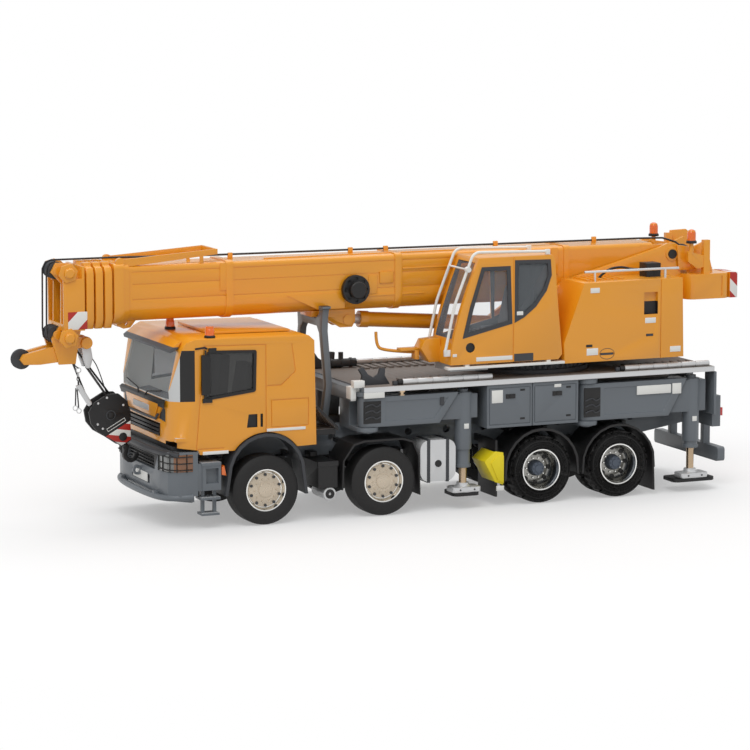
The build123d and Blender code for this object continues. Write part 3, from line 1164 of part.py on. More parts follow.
with BuildPart() as tele_4:
    head_x = boom_front_x - 3 * (collar_length + collar_gap) - collar_gap
    half_w, half_h = tele_half[3]
    boom_tube(head_x - 2, 82.0, half_w, half_h, tele_wall)
    head = ((head_x, 60.0), (head_x, 76.4), (-103.0, 80.0), (-107.0, 80.2), (-108.6, 77.4), (-105.4, 74.0),
            (-105.6, 62.0), (-108.6, 57.4), (-106.4, 49.6), (-101.2, 49.6), (-100.0, 57.6))
    for side in (-1, 1):
        side_plate(head, side * 3.2, side * 4.2)
        plate_y = side * 7.4
        block(head_x - 6.6, head_x, plate_y - 0.4, plate_y + 0.4, 60.0, 75.6)
        rod((top_sheave[0], side * 4.1, top_sheave[1]), (top_sheave[0], side * 4.9, top_sheave[1]), 1.4)
        rod((low_sheave[0], side * 4.1, low_sheave[1]), (low_sheave[0], side * 4.9, low_sheave[1]), 1.4)
    block(head_x - 0.8, head_x, -7.8, 7.8, 60.2, 79.2)
    block(head_x - 6.6, head_x - 5.8, -7.0, 7.0, 60.0, 62.0)
    block(head_x - 3, -98.4, -half_w + tele_wall, half_w - tele_wall, 64.4, 75.4, Mode.SUBTRACT)
    for y in (-2.0, 0, 2.0):
        sheave(top_sheave[0], top_sheave[1], y, head_sheave_radius, 1.6)
        sheave(low_sheave[0], low_sheave[1], y, head_sheave_radius, 1.6)
    rod((top_sheave[0], -3.4, top_sheave[1]), (top_sheave[0], 3.4, top_sheave[1]), 0.8)
    rod((low_sheave[0], -3.4, low_sheave[1]), (low_sheave[0], 3.4, low_sheave[1]), 0.8)
    nose = ((-104.6, 55.0), (-109.0, 54.8), (nose_sheave_x, 53.0), (nose_sheave_x - 1.0, 51.4),
            (nose_sheave_x, 50.0), (-112.0, 49.8), (-104.6, 50.4))
    for side in (-1, 1):
        side_plate(nose, side * 1.6, side * 3.3)
    sheave(nose_sheave_x, 51.4, 0, nose_sheave_radius, 1.6)
    rod((nose_sheave_x, -2.4, 51.4), (nose_sheave_x, 2.4, 51.4), 0.7)
    rod((-102.9, -3.4, 57.2), (-102.9, 3.4, 57.2), 0.7)
    for side in (-1, 1):
        rod((-97.4, side * 1.4, 55.7), (-97.4, side * 3.5, 55.7), 1.5)
    side_plate(((-101.4, 57.4), (-98.6, 57.2), (-98.6, 54.2), (-102.0, 54.0)), -3.2, -2.2)
    side_plate(((-101.4, 57.4), (-98.6, 57.2), (-98.6, 54.2), (-102.0, 54.0)), 2.2, 3.2)


# Hook

tilt = math.radians(29)
block_top = (-92.8, 38.4)
down = (math.sin(tilt), -math.cos(tilt))
across = (math.cos(tilt), math.sin(tilt))


def on_block(sideways, distance):
    """Give a side-view point on the tilted hook block."""
    x = block_top[0] + across[0] * sideways + down[0] * distance
    z = block_top[1] + across[1] * sideways + down[1] * distance
    return (x, z)


with BuildPart() as hook_block:
    cheek_outline = (on_block(-2.4, 0), on_block(2.4, 0), on_block(5.4, 1.6), on_block(6.6, 5.0),
                     on_block(6.0, 8.4), on_block(3.8, 12.2), on_block(1.8, 16.2), on_block(-1.8, 16.2),
                     on_block(-3.8, 12.2), on_block(-6.0, 8.4), on_block(-6.6, 5.0), on_block(-5.4, 1.6))
    for side in (-1, 1):
        side_plate(cheek_outline, side * 1.9, side * 2.9)
    pin_x, pin_z = on_block(0, 6.0)
    sheave(pin_x, pin_z, 0, 4.6, 2.2)
    rod((pin_x, -3.4, pin_z), (pin_x, 3.4, pin_z), 0.9)
    low_x, low_z = on_block(0, 13.8)
    rod((low_x, -3.2, low_z), (low_x, 3.2, low_z), 1.3)
    for sideways in (-1, 1):
        start_x, start_z = on_block(sideways * 3.9, 4.0)
        end_x = -102.6 + sideways * 0.9
        rod((start_x, 0, start_z), (end_x, 0, 56.0), 0.3)

with BuildPart() as hook:
    shank_top = on_block(0, 15.4)
    shank_end = on_block(0, 18.3)
    rod((shank_top[0], 0, shank_top[1]), (shank_end[0], 0, shank_end[1]), 0.8)
    bowl = [on_block(1.1, 17.6), on_block(-1.1, 17.6)]
    bowl_middle = 20.6
    for radius, turns in ((2.5, range(10)), (1.2, range(9, -1, -1))):
        for step in turns:
            angle = math.radians(120 + 220 * step / 9)
            bowl.append(on_block(radius * math.cos(angle), bowl_middle - radius * math.sin(angle)))
    side_plate(bowl, -0.8, 0.8)


pieces = (
    ("chassis_frame", chassis_frame), ("axles", axles), ("fuel_tank", fuel_tank), ("muffler", muffler),
    ("front_bumper", front_bumper), ("front_wheel_arches", front_wheel_arches),
    ("wheel_arches", wheel_arches), ("wheel_chocks", wheel_chocks), ("service_boxes", service_boxes),
    ("deck", deck), ("side_boxes", side_boxes), ("outrigger_frames", outrigger_frames),
    ("boom_rest", boom_rest), ("slewing_ring", slewing_ring), ("truck_cab", truck_cab),
    ("truck_cab_glazing", truck_cab_glazing), ("truck_cab_interior", truck_cab_interior),
    ("truck_cab_trim", truck_cab_trim),
    ("knuckle_1_left", knuckle_1_left), ("knuckle_1_right", knuckle_1_right),
    ("knuckle_2_left", knuckle_2_left), ("knuckle_2_right", knuckle_2_right),
    ("wheel_1_left", wheel_1_left), ("wheel_1_right", wheel_1_right),
    ("wheel_2_left", wheel_2_left), ("wheel_2_right", wheel_2_right),
    ("wheel_3_left", wheel_3_left), ("wheel_3_right", wheel_3_right),
    ("wheel_4_left", wheel_4_left), ("wheel_4_right", wheel_4_right),
    ("outrigger_beam_front_left", outrigger_beam_front_left),
    ("outrigger_beam_front_right", outrigger_beam_front_right),
    ("outrigger_beam_rear_left", outrigger_beam_rear_left),
    ("outrigger_beam_rear_right", outrigger_beam_rear_right),
    ("outrigger_slide_front_left", outrigger_slide_front_left),
    ("outrigger_slide_front_right", outrigger_slide_front_right),
    ("outrigger_slide_rear_left", outrigger_slide_rear_left),
    ("outrigger_slide_rear_right", outrigger_slide_rear_right),
    ("outrigger_jack_front_left", outrigger_jack_front_left),
    ("outrigger_jack_front_right", outrigger_jack_front_right),
    ("outrigger_jack_rear_left", outrigger_jack_rear_left),
    ("outrigger_jack_rear_right", outrigger_jack_rear_right),
    ("turntable_frame", turntable_frame), ("machinery_house", machinery_house),
    ("crane_cab", crane_cab), ("crane_cab_glazing", crane_cab_glazing),
    ("crane_cab_interior", crane_cab_interior), ("crane_cab_guard", crane_cab_guard),
    ("winch_drum", winch_drum), ("luff_barrel", luff_barrel), ("luff_rod", luff_rod),
    ("boom_base", boom_base), ("cable_reel", cable_reel),
    ("tele_1", tele_1), ("tele_2", tele_2), ("tele_3", tele_3), ("tele_4", tele_4),
    ("hook_block", hook_block), ("hook", hook),
)

os.makedirs("parts", exist_ok=True)
for name, piece in pieces:
    piece.part.label = name
    export_step(piece.part, f"parts/{name}.step")
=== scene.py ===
"""A die-cast scale model of a four-axle mobile crane, dressed for its photograph.

Sizes in this script are in millimetres, in the model's own frame: the cab points to -X, the
left side to -Y and up is +Z. MM turns them into the scene's metres.
"""
import math

import bpy
from mathutils import Matrix, Vector


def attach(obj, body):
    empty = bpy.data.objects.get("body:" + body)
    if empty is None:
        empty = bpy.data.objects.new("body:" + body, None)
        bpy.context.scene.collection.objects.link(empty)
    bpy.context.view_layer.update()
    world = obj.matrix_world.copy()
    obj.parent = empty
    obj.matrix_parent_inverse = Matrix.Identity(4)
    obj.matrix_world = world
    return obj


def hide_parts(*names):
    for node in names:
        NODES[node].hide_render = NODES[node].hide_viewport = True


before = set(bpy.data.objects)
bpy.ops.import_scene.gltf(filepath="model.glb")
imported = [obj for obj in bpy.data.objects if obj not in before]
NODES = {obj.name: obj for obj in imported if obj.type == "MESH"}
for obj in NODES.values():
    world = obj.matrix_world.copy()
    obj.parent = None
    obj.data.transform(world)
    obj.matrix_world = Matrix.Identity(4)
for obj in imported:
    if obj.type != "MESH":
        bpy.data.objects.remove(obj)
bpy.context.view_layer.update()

MM = 0.001


# Shader maths

class Value:
    """One socket of a finish; sums, products and comparisons add Math nodes."""

    def __init__(self, finish, socket):
        self.finish = finish
        self.socket = socket

    def maths(self, operation, first, second=None):
        fed = {0: first} if second is None else {0: first, 1: second}
        return self.finish.node("ShaderNodeMath", {"operation": operation}, fed)

    def out(self, name):
        return Value(self.finish, self.socket.node.outputs[name])

    def __add__(self, other):
        return self.maths("ADD", self, other)

    def __sub__(self, other):
        return self.maths("SUBTRACT", self, other)

    def __rsub__(self, other):
        return self.maths("SUBTRACT", other, self)

    def __mul__(self, other):
        return self.maths("MULTIPLY", self, other)

    def __gt__(self, other):
        return self.maths("GREATER_THAN", self, other)

    __radd__ = __add__
    __rmul__ = __mul__

    def fract(self):
        return self.maths("FRACT", self)

    def larger(self, other):
        return self.maths("MAXIMUM", self, other)


class Finish:
    """One material: a Principled shader and the nodes that feed it."""

    def __init__(self, name, **constants):
        self.material = bpy.data.materials.new(name)
        self.material.use_nodes = True
        self.tree = self.material.node_tree
        self.shader = self.tree.nodes["Principled BSDF"]
        for socket, value in constants.items():
            self.shader.inputs[socket.replace("_", " ")].default_value = value

    def node(self, kind, settings=None, fed=None, output=0):
        made = self.tree.nodes.new(kind)
        for name, value in (settings or {}).items():
            setattr(made, name, value)
        for name, value in (fed or {}).items():
            self.feed(made.inputs[name], value)
        return Value(self, made.outputs[output])

    def feed(self, socket, value):
        if isinstance(value, Value):
            self.tree.links.new(value.socket, socket)
        else:
            socket.default_value = value

    def set(self, name, value):
        self.feed(self.shader.inputs[name], value)

    def place(self):
        return self.node("ShaderNodeTexCoord", output="Object")

    def axes(self):
        split = self.node("ShaderNodeSeparateXYZ", None, {0: self.place()})
        return split, split.out("Y"), split.out("Z")

    def noise(self, grains_per_mm, detail=2.0):
        fed = {"Vector": self.place(), "Scale": grains_per_mm / MM, "Detail": detail}
        return self.node("ShaderNodeTexNoise", None, fed)

    def blend(self, factor, first, second):
        fed = {0: factor, 6: first, 7: second}
        return self.node("ShaderNodeMix", {"data_type": "RGBA"}, fed, 2)

    def bump(self, height, strength, depth_mm):
        fed = {"Height": height, "Strength": strength, "Distance": depth_mm * MM}
        self.set("Normal", self.node("ShaderNodeBump", None, fed))


def shade(colour, factor):
    """A colour made darker or lighter, with its alpha kept."""
    return tuple(min(1.0, part * factor) for part in colour[:3]) + (1.0,)


def srgb(red, green, blue):
    """A display colour of 0 to 255 as the linear colour that shaders take."""
    linear = []
    for part in (red, green, blue):
        part = part / 255
        linear.append(part / 12.92 if part <= 0.04045 else ((part + 0.055) / 1.055) ** 2.4)
    return tuple(linear) + (1.0,)


def surface(name, colour, roughness, metallic=0.0, coat=0.0, tone=0.04, grain=1.6, bump=0.15, depth=0.02,
            **constants):
    """A painted, moulded or metal finish: slow colour change, fine grain in gloss and relief."""
    finish = Finish(name, Metallic=metallic, Coat_Weight=coat, **constants)
    cloud = finish.noise(0.05, 3.0)
    grains = finish.noise(grain, 2.0)
    finish.set("Base Color", finish.blend(cloud, shade(colour, 1 - tone), shade(colour, 1 + tone)))
    finish.set("Roughness", (grains - 0.5) * 0.12 + roughness)
    finish.bump(grains, bump, depth)
    return finish


def striped(name, first, second, slope, period, shift=0.0):
    """Slanting bands of two colours, slope = weights of x, y and z in mm."""
    finish = Finish(name, Roughness=0.38)
    x, y, z = finish.axes()
    across = (x * slope[0] + y * slope[1] + z * slope[2]) * (1 / (period * MM)) + shift
    finish.set("Base Color", finish.blend(across.fract() > 0.5, first, second))
    grains = finish.noise(1.6)
    finish.bump(grains, 0.12, 0.02)
    return finish


def chequered(name, plain, line, period):
    """A tread plate with a crossed grid of raised ribs, coloured lighter than the plate as a painted
    highlight on them.
    """
    finish = Finish(name, Metallic=0.55)
    x, y, z = finish.axes()
    one = ((y + z * 1.4) * (1 / (period * MM))).fract() > 0.86
    two = ((y - z * 1.4) * (1 / (period * MM))).fract() > 0.86
    ribs = one.larger(two)
    # the ribs take the lighter colour: a painted highlight on the raised lines
    finish.set("Base Color", finish.blend(ribs, plain, line))
    finish.set("Roughness", ribs * -0.15 + 0.5)
    finish.bump(ribs, 0.5, 0.15)
    return finish


YELLOW = srgb(238, 158, 22)
GREY = srgb(106, 112, 118)
BLACK = srgb(22, 21, 22)
SILVER = srgb(214, 215, 216)
WHITE = srgb(238, 238, 234)
RED = srgb(184, 44, 36)

paint_yellow = surface("crane_yellow_paint", YELLOW, 0.42, coat=0.7, tone=0.03, bump=0.05,
                       Coat_Roughness=0.12)
paint_grey = surface("carrier_grey_paint", GREY, 0.42, coat=0.12, tone=0.05)
plastic_black = surface("black_moulding", BLACK, 0.5, tone=0.12, grain=2.2, bump=0.25)
plastic_dark = surface("dark_grey_moulding", srgb(58, 60, 64), 0.48, tone=0.1)
# The cabin lining is pale and also glows faintly in its own colour: a painted glow that stands in for light
# inside the truck cab.
LINING = srgb(206, 207, 204)
cabin_lining_painted_glow = surface("cabin_lining_painted_glow", LINING, 0.55, tone=0.03, Emission_Color=LINING, Emission_Strength=0.12)
hub_blue = surface("blue_grey_hub", srgb(84, 92, 104), 0.32, metallic=0.5, tone=0.1, grain=2.0)
dish_metal = surface("wheel_dish_metal", srgb(150, 149, 145), 0.2, metallic=1.0,
                     tone=0.06, grain=0.8, bump=0.08)
dark_seat = surface("seat_and_dash", srgb(92, 94, 100), 0.6, tone=0.1, grain=3.0, bump=0.3)
metal_silver = surface("silver_paint", SILVER, 0.34, metallic=0.45, tone=0.04, grain=2.5)
metal_chrome = surface("bright_chrome", srgb(238, 238, 236), 0.14, metallic=1.0,
                       tone=0.03, grain=0.8, bump=0.05)
metal_nickel = surface("nickel_hub", srgb(206, 192, 172), 0.28, metallic=0.55,
                       tone=0.04, grain=0.8, bump=0.04)
metal_brass = surface("jack_rod_metal", srgb(205, 180, 150), 0.25, metallic=0.9, tone=0.05)
rubber = surface("tyre_rubber", srgb(26, 25, 25), 0.66, tone=0.12, grain=2.6, bump=0.3, depth=0.03)
white_plate = surface("white_plate", WHITE, 0.4, tone=0.02)
pale_grey = surface("light_grey_moulding", srgb(188, 190, 192), 0.45, tone=0.05)
chock_yellow = surface("chock_yellow", srgb(240, 218, 32), 0.4, tone=0.04)
deck_brown = surface("deck_tread", srgb(124, 116, 110), 0.6, tone=0.15, grain=0.9, bump=0.6, depth=0.06)
rope_dark = surface("steel_rope", srgb(64, 62, 62), 0.45, metallic=0.5,
                    tone=0.2, grain=1.4, bump=0.6, depth=0.1)
head_light = surface("lamp_lens", srgb(205, 214, 218), 0.12, metallic=0.35, coat=0.6, tone=0.1, grain=0.9)
smoked_lens = surface("smoked_lamp_lens", srgb(112, 114, 112), 0.12, coat=0.7, tone=0.15, grain=0.9)
smoked_amber = surface("smoked_amber_lens", srgb(128, 78, 34), 0.14, coat=0.7, tone=0.15, grain=0.9)
amber = surface("amber_lens", srgb(242, 112, 14), 0.16, coat=0.7, tone=0.12, grain=0.8)
red_lens = surface("red_lens", srgb(205, 28, 24), 0.16, coat=0.7, tone=0.12, grain=0.8)
visor_grey = surface("visor_grey", srgb(84, 87, 92), 0.55, tone=0.06)
screen_edge = surface("windscreen_edge", srgb(206, 208, 208), 0.1, coat=0.6, tone=0.03, bump=0.02)
# The side panes are tinted dark grey and partly opaque: painted shade that stands for the shaded cab inside,
# while the windscreen stays clear.
painted_shade_side_glass = surface("side_glass_with_painted_shade", srgb(58, 58, 58), 0.07, tone=0.1, bump=0.02, Alpha=0.6)
window_glass = surface("window_glass", srgb(176, 184, 190), 0.06, tone=0.06, bump=0.02, Alpha=0.16)
# The second colour is the painted highlight on the tread plate's ribs.
chequer = chequered("chequer_plate", srgb(112, 106, 102), srgb(192, 186, 180), 3.4)
board_stripes = striped("warning_board", WHITE, RED, (0.7, 0.7, 0.7), 5.6, 0.2)
plate_stripes = striped("head_plate_stripes", RED, WHITE, (0.7, 0.5, -0.7), 7.5, 0.65)
hook_stripes = striped("hook_stripes", RED, WHITE, (0.15, 0.0, 1.0), 3.9)


# Modelling helpers

def activate(piece):
    bpy.ops.object.select_all(action="DESELECT")
    piece.select_set(True)
    bpy.context.view_layer.objects.active = piece


def edit(piece):
    """Open a piece in edit mode with all of it selected."""
    activate(piece)
    bpy.ops.object.mode_set(mode="EDIT")
    bpy.ops.mesh.select_all(action="SELECT")


def close():
    bpy.ops.object.mode_set(mode="OBJECT")


def round_edges(piece, width, segments=2, angle=32):
    """Bevel a piece's sharp edges by a width in mm."""
    activate(piece)
    bevel = piece.modifiers.new("rounded", "BEVEL")
    bevel.width = width * MM
    bevel.segments = segments
    bevel.angle_limit = math.radians(angle)
    bpy.ops.object.modifier_apply(modifier=bevel.name)


def coat(piece, finish):
    piece.data.materials.clear()
    piece.data.materials.append(finish.material)
    return piece


def bar(low, high, finish, bevel=0.12):
    """A bevelled block between two corners."""
    bpy.ops.object.select_all(action="DESELECT")
    bpy.ops.mesh.primitive_cube_add(size=1)
    piece = bpy.context.object
    middle = [(low[axis] + high[axis]) / 2 for axis in range(3)]
    size = [abs(high[axis] - low[axis]) for axis in range(3)]
    thinnest = min(size)
    for corner in piece.data.vertices:
        spot = [middle[axis] + corner.co[axis] * size[axis] for axis in range(3)]
        corner.co = Vector(spot) * MM
    round_edges(piece, min(bevel, thinnest * 0.35))
    return coat(piece, finish)


LIE = {"xz": (0, 2, 1), "yz": (1, 2, 0), "xy": (0, 1, 2)}


def plate(plane, outline, start, end, finish, bevel=0.12):
    """Extrude a flat outline between two values of the third axis."""
    first, second, third = LIE[plane]
    bpy.ops.object.select_all(action="DESELECT")
    bpy.ops.mesh.primitive_circle_add(vertices=len(outline), fill_type="NGON")
    piece = bpy.context.object
    for corner, spot in zip(piece.data.vertices, outline):
        place = [0.0, 0.0, 0.0]
        place[first] = spot[0] * MM
        place[second] = spot[1] * MM
        place[third] = start * MM
        corner.co = place
    travel = [0.0, 0.0, 0.0]
    travel[third] = (end - start) * MM
    edit(piece)
    bpy.ops.mesh.extrude_region_move(TRANSFORM_OT_translate={"value": travel})
    bpy.ops.mesh.select_all(action="SELECT")
    bpy.ops.mesh.normals_make_consistent(inside=False)
    close()
    round_edges(piece, min(bevel, abs(end - start) * 0.35))
    return coat(piece, finish)


def flat_ring(outline, width, start, end, finish):
    """A flat frame in a side face: an outline in x and z with its middle cut out."""
    bpy.ops.object.select_all(action="DESELECT")
    bpy.ops.mesh.primitive_circle_add(vertices=len(outline), fill_type="NGON")
    piece = bpy.context.object
    for corner, spot in zip(piece.data.vertices, outline):
        corner.co = Vector((spot[0], start, spot[1])) * MM
    edit(piece)
    bpy.ops.mesh.inset(thickness=width * MM, depth=0)
    bpy.ops.mesh.delete(type="FACE")
    bpy.ops.mesh.select_all(action="SELECT")
    bpy.ops.mesh.extrude_region_move(TRANSFORM_OT_translate={"value": (0, (end - start) * MM, 0)})
    bpy.ops.mesh.select_all(action="SELECT")
    bpy.ops.mesh.normals_make_consistent(inside=False)
    close()
    return coat(piece, finish)


def turned(profile, centre, finish, axis="y", steps=40):
    """Spin a closed profile of (along, radius) points about an axis through centre."""
    bpy.ops.object.select_all(action="DESELECT")
    bpy.ops.mesh.primitive_circle_add(vertices=len(profile), fill_type="NOTHING")
    piece = bpy.context.object
    along = "xyz".index(axis)
    across = 2 if axis != "z" else 0
    for corner, (distance, radius) in zip(piece.data.vertices, profile):
        spot = [part * MM for part in centre]
        spot[along] = distance * MM
        spot[across] += radius * MM
        corner.co = spot
    edit(piece)
    pole = [0.0, 0.0, 0.0]
    pole[along] = 1.0
    middle = [part * MM for part in centre]
    middle[along] = 0.0
    bpy.ops.mesh.spin(steps=steps, angle=2 * math.pi, center=middle, axis=pole, use_auto_merge=True)
    bpy.ops.mesh.select_all(action="SELECT")
    bpy.ops.mesh.remove_doubles(threshold=0.002 * MM)
    bpy.ops.mesh.dissolve_degenerate(threshold=0.001 * MM)
    bpy.ops.mesh.delete_loose()
    bpy.ops.mesh.select_all(action="SELECT")
    bpy.ops.mesh.normals_make_consistent(inside=False)
    close()
    return coat(piece, finish)


def tube(points, radius, finish, smooth=False, sides=3, closed=False):
    """A round bar, pipe or rope along points."""
    curve = bpy.data.curves.new("route", "CURVE")
    curve.dimensions = "3D"
    curve.bevel_depth = radius * MM
    curve.bevel_resolution = sides
    curve.use_fill_caps = not closed
    curve.resolution_u = 6
    line = curve.splines.new("NURBS" if smooth else "POLY")
    line.points.add(len(points) - 1)
    for spot, point in zip(line.points, points):
        spot.co = (point[0] * MM, point[1] * MM, point[2] * MM, 1.0)
    if smooth:
        line.order_u = 3
        line.use_endpoint_u = not closed
    line.use_cyclic_u = closed
    piece = bpy.data.objects.new("route", curve)
    bpy.context.collection.objects.link(piece)
    activate(piece)
    bpy.ops.object.convert(target="MESH")
    piece = bpy.context.object
    edit(piece)
    bpy.ops.mesh.remove_doubles(threshold=0.001 * MM)
    bpy.ops.mesh.normals_make_consistent(inside=False)
    close()
    return coat(piece, finish)


def beacon(x, y, low_z, high_z):
    """An amber dome on a dark foot."""
    lens = [(low_z + 0.5, 0), (low_z + 0.5, 1.4), (high_z - 1.2, 1.4), (high_z - 0.5, 1.15),
            (high_z - 0.1, 0.6), (high_z, 0)]
    seat = [(low_z - 0.3, 0), (low_z - 0.3, 1.7), (low_z + 0.3, 1.7), (low_z + 0.6, 1.45), (low_z + 0.6, 0)]
    return [turned(lens, (x, y, 0), amber, axis="z", steps=24),
            turned(seat, (x, y, 0), plastic_black, axis="z", steps=24)]


def joined(pieces):
    """Several pieces as one, in the first one's place."""
    activate(pieces[0])
    for piece in pieces:
        piece.select_set(True)
    if len(pieces) > 1:
        bpy.ops.object.join()
    return bpy.context.object


def copied(piece):
    twin = piece.copy()
    twin.data = piece.data.copy()
    bpy.context.collection.objects.link(twin)
    return twin


def mirrored(pieces):
    """Copies of pieces on the other side of the model."""
    twins = []
    for piece in pieces:
        twin = copied(piece)
        twin.data.transform(Matrix.Scale(-1, 4, (0, 1, 0)))
        twin.data.flip_normals()
        twins.append(twin)
    return twins


def shifted(piece, x=0.0, y=0.0, z=0.0):
    twin = copied(piece)
    twin.data.transform(Matrix.Translation((x * MM, y * MM, z * MM)))
    return twin


def both(pieces):
    return list(pieces) + mirrored(pieces)


def settle(name, body, slot, pieces, *nodes):
    """Join pieces into one, let it ride on a body and take the place of any named nodes."""
    piece = joined(pieces)
    piece.name = name
    bpy.ops.object.shade_smooth_by_angle(angle=math.radians(35))
    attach(piece, body)
    if nodes:
        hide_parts(*nodes)
    return piece


def recolour(piece, test, finish):
    """Give the faces that pass a test on their middle and normal, in mm, another finish."""
    piece.data.materials.append(finish.material)
    slot = len(piece.data.materials) - 1
    for face in piece.data.polygons:
        if test(face.center / MM, face.normal):
            face.material_index = slot


def dressed(node, body, finish, width=0.15, cuts=(), paints=()):
    """A CAD node's copy with rounded edges, its faces cut along planes and painted by place."""
    source = NODES[node]
    piece = bpy.data.objects.new(node + "_finished", source.data.copy())
    bpy.context.collection.objects.link(piece)
    edit(piece)
    bpy.ops.mesh.remove_doubles(threshold=0.001 * MM)
    bpy.ops.mesh.dissolve_limited(angle_limit=math.radians(0.6))
    close()
    coat(piece, finish)
    for face in piece.data.polygons:
        face.material_index = 0
    if width:
        round_edges(piece, width, 2, 38)
    for place, normal in cuts:
        edit(piece)
        bpy.ops.mesh.bisect(plane_co=[part * MM for part in place], plane_no=normal)
        close()
    for test, other in paints:
        recolour(piece, test, other)
    activate(piece)
    bpy.ops.object.shade_smooth_by_angle(angle=math.radians(35))
    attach(piece, body)
    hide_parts(node)
    return piece


def at_x(value):
    return ((value, 0, 0), (1, 0, 0))


def at_z(value):
    return ((0, 0, value), (0, 0, 1))


# Wheels

WHEEL_Z = 10.76
HUB = (0, 0, WHEEL_Z)
TYRE_RADIUS = 10.74
OUTER_Y = 25.0
TWIN_PITCH = 7.0
AXLES = (-48.2, -9.4, 44.4, 71.6)
TREAD_STEPS = 60


def tyre(width, outer_y, block_height):
    """One tyre at x = 0 with its blocks raised from the tread, on the left side."""
    inner_y = outer_y - width
    base = TYRE_RADIUS - 0.3
    half = [(0.15, 6.7), (0.02, 7.2), (0.0, 8.0), (0.1, 8.9), (0.35, 9.7), (0.8, base - 0.1), (1.5, base),
            (2.6, base + 0.02)]
    profile = [(-(outer_y - inset), radius) for inset, radius in half]
    profile += [(-(inner_y + inset), radius) for inset, radius in reversed(half)]
    profile += [(-(inner_y + 0.6), 6.5), (-(outer_y - 0.6), 6.5)]
    piece = turned(profile, HUB, rubber, steps=TREAD_STEPS)
    middle_y = -(outer_y + inner_y) / 2
    for face in piece.data.polygons:
        face.select = False
    step_angle = 2 * math.pi / TREAD_STEPS
    for face in piece.data.polygons:
        spot = face.center / MM
        turn = math.atan2(spot.z - WHEEL_Z, spot.x)
        index = int(math.floor(turn / step_angle))
        distance = math.hypot(spot.x, spot.z - WHEEL_Z)
        side = abs(spot.y - middle_y)
        edge_block = side > width / 2 - 2.6 and index % 2 == 0
        middle_block = side <= width / 2 - 2.6 and index % 3 != 0
        face.select = distance > base - 0.2 and (edge_block or middle_block)
    activate(piece)
    bpy.ops.object.mode_set(mode="EDIT")
    bpy.ops.mesh.select_mode(type="FACE")
    bpy.ops.mesh.extrude_region_shrink_fatten(TRANSFORM_OT_shrink_fatten={"value": block_height * MM})
    close()
    for radius in (9.0, 7.6):
        foot_y = -outer_y + 0.05
        rim_line = [(foot_y, radius + 0.12), (foot_y, radius - 0.12), (-outer_y - 0.02, radius)]
        piece = joined([piece, turned(rim_line, HUB, rubber)])
    return piece


def wheel_part(profile, finish, steps=40):
    """A part turned about the axle, from (depth behind the tyre's outer face, radius) points."""
    return turned([(depth - OUTER_Y, radius) for depth, radius in profile], HUB, finish, steps=steps)


def studs(count, circle, radius, depth_from, depth_to, finish, sides=8, turn=0.0):
    """A ring of short round studs about the axle, on the left side."""
    made = []
    back_y = depth_from - OUTER_Y
    face_y = depth_to - OUTER_Y
    profile = [(back_y, 0), (back_y, radius), (face_y + 0.12, radius), (face_y, radius * 0.7), (face_y, 0)]
    for number in range(count):
        angle = 2 * math.pi * (number + turn) / count
        centre = (circle * math.cos(angle), 0, WHEEL_Z + circle * math.sin(angle))
        made.append(turned(profile, centre, finish, steps=sides))
    return made


def steered_wheel():
    """A steered wheel: bright ring, domed hub cover and ten slots round it."""
    rim = [(0.4, 6.75), (0.15, 6.5), (0.2, 6.1), (0.8, 5.9), (1.5, 5.5), (1.6, 5.0), (2.4, 5.0), (2.6, 6.2),
           (7.2, 6.2), (7.2, 6.75)]
    cover = [(1.5, 5.3), (1.2, 5.15), (1.05, 4.6), (0.75, 3.9), (0.55, 3.1), (0.5, 2.9), (0.62, 2.7),
             (0.62, 0), (2.4, 0), (2.4, 5.3)]
    cap = [(0.7, 0), (0.35, 0), (0.38, 1.6), (0.5, 2.2), (0.7, 2.35)]
    back = [(7.2, 6.3), (6.8, 6.3), (6.8, 1.2), (7.2, 1.2)]
    turned_parts = [
        wheel_part(rim, metal_chrome, 56),
        wheel_part(cover, metal_nickel, 56),
        wheel_part(cap, metal_nickel),
        wheel_part(back, plastic_black),
    ]
    slots = studs(10, 4.75, 0.46, 1.1, 0.55, plastic_dark, turn=0.5)
    nuts = studs(10, 3.55, 0.3, 0.8, 0.4, metal_nickel, sides=6)
    return [tyre(7.7, OUTER_Y, 0.26)] + turned_parts + slots + nuts


def driven_wheel():
    """A twin wheel: deep bright dish, dark hand holes, wheel nuts and a long hub."""
    dish_outline = [(0.4, 6.75), (0.15, 6.5), (0.2, 6.15), (0.9, 5.95), (1.2, 5.75), (3.6, 5.55), (4.4, 5.2),
                    (4.9, 4.4), (4.7, 3.4), (4.7, 2.4), (5.4, 2.4), (5.6, 6.2), (12.8, 6.2), (12.8, 6.75)]
    hub = [(5.2, 2.6), (4.4, 2.55), (2.9, 2.3), (2.5, 2.0), (2.4, 1.2), (2.2, 1.1), (2.2, 0), (5.2, 0)]
    back = [(12.8, 6.3), (12.4, 6.3), (12.4, 1.4), (12.8, 1.4)]
    dish = wheel_part(dish_outline, metal_chrome, 56)
    recolour(dish, lambda s, n: math.hypot(s.x, s.z - WHEEL_Z) < 5.7, dish_metal)
    turned_parts = [dish, wheel_part(hub, hub_blue), wheel_part(back, plastic_black)]
    holes = studs(8, 4.65, 0.72, 5.0, 4.4, plastic_black, sides=14)
    nuts = studs(10, 3.2, 0.3, 4.9, 4.1, metal_chrome, sides=6)
    bolts = studs(8, 1.65, 0.2, 2.7, 2.15, hub_blue, sides=6)
    tyres = [tyre(6.0, OUTER_Y, 0.14), tyre(6.0, OUTER_Y - TWIN_PITCH, 0.14)]
    return tyres + turned_parts + holes + nuts + bolts


for axle_pair, maker in (((1, 2), steered_wheel), ((3, 4), driven_wheel)):
    pattern = joined(maker())
    for axle in axle_pair:
        left = shifted(pattern, AXLES[axle - 1])
        right = mirrored([left])[0]
        for side, wheel in (("left", left), ("right", right)):
            node = f"wheel_{axle}_{side}"
            settle(f"{node}_finished", f"roll_{axle}_{side}", "tyre_rubber", [wheel], node)
    bpy.data.objects.remove(pattern)


# Carrier

DECK_Z = 40.2

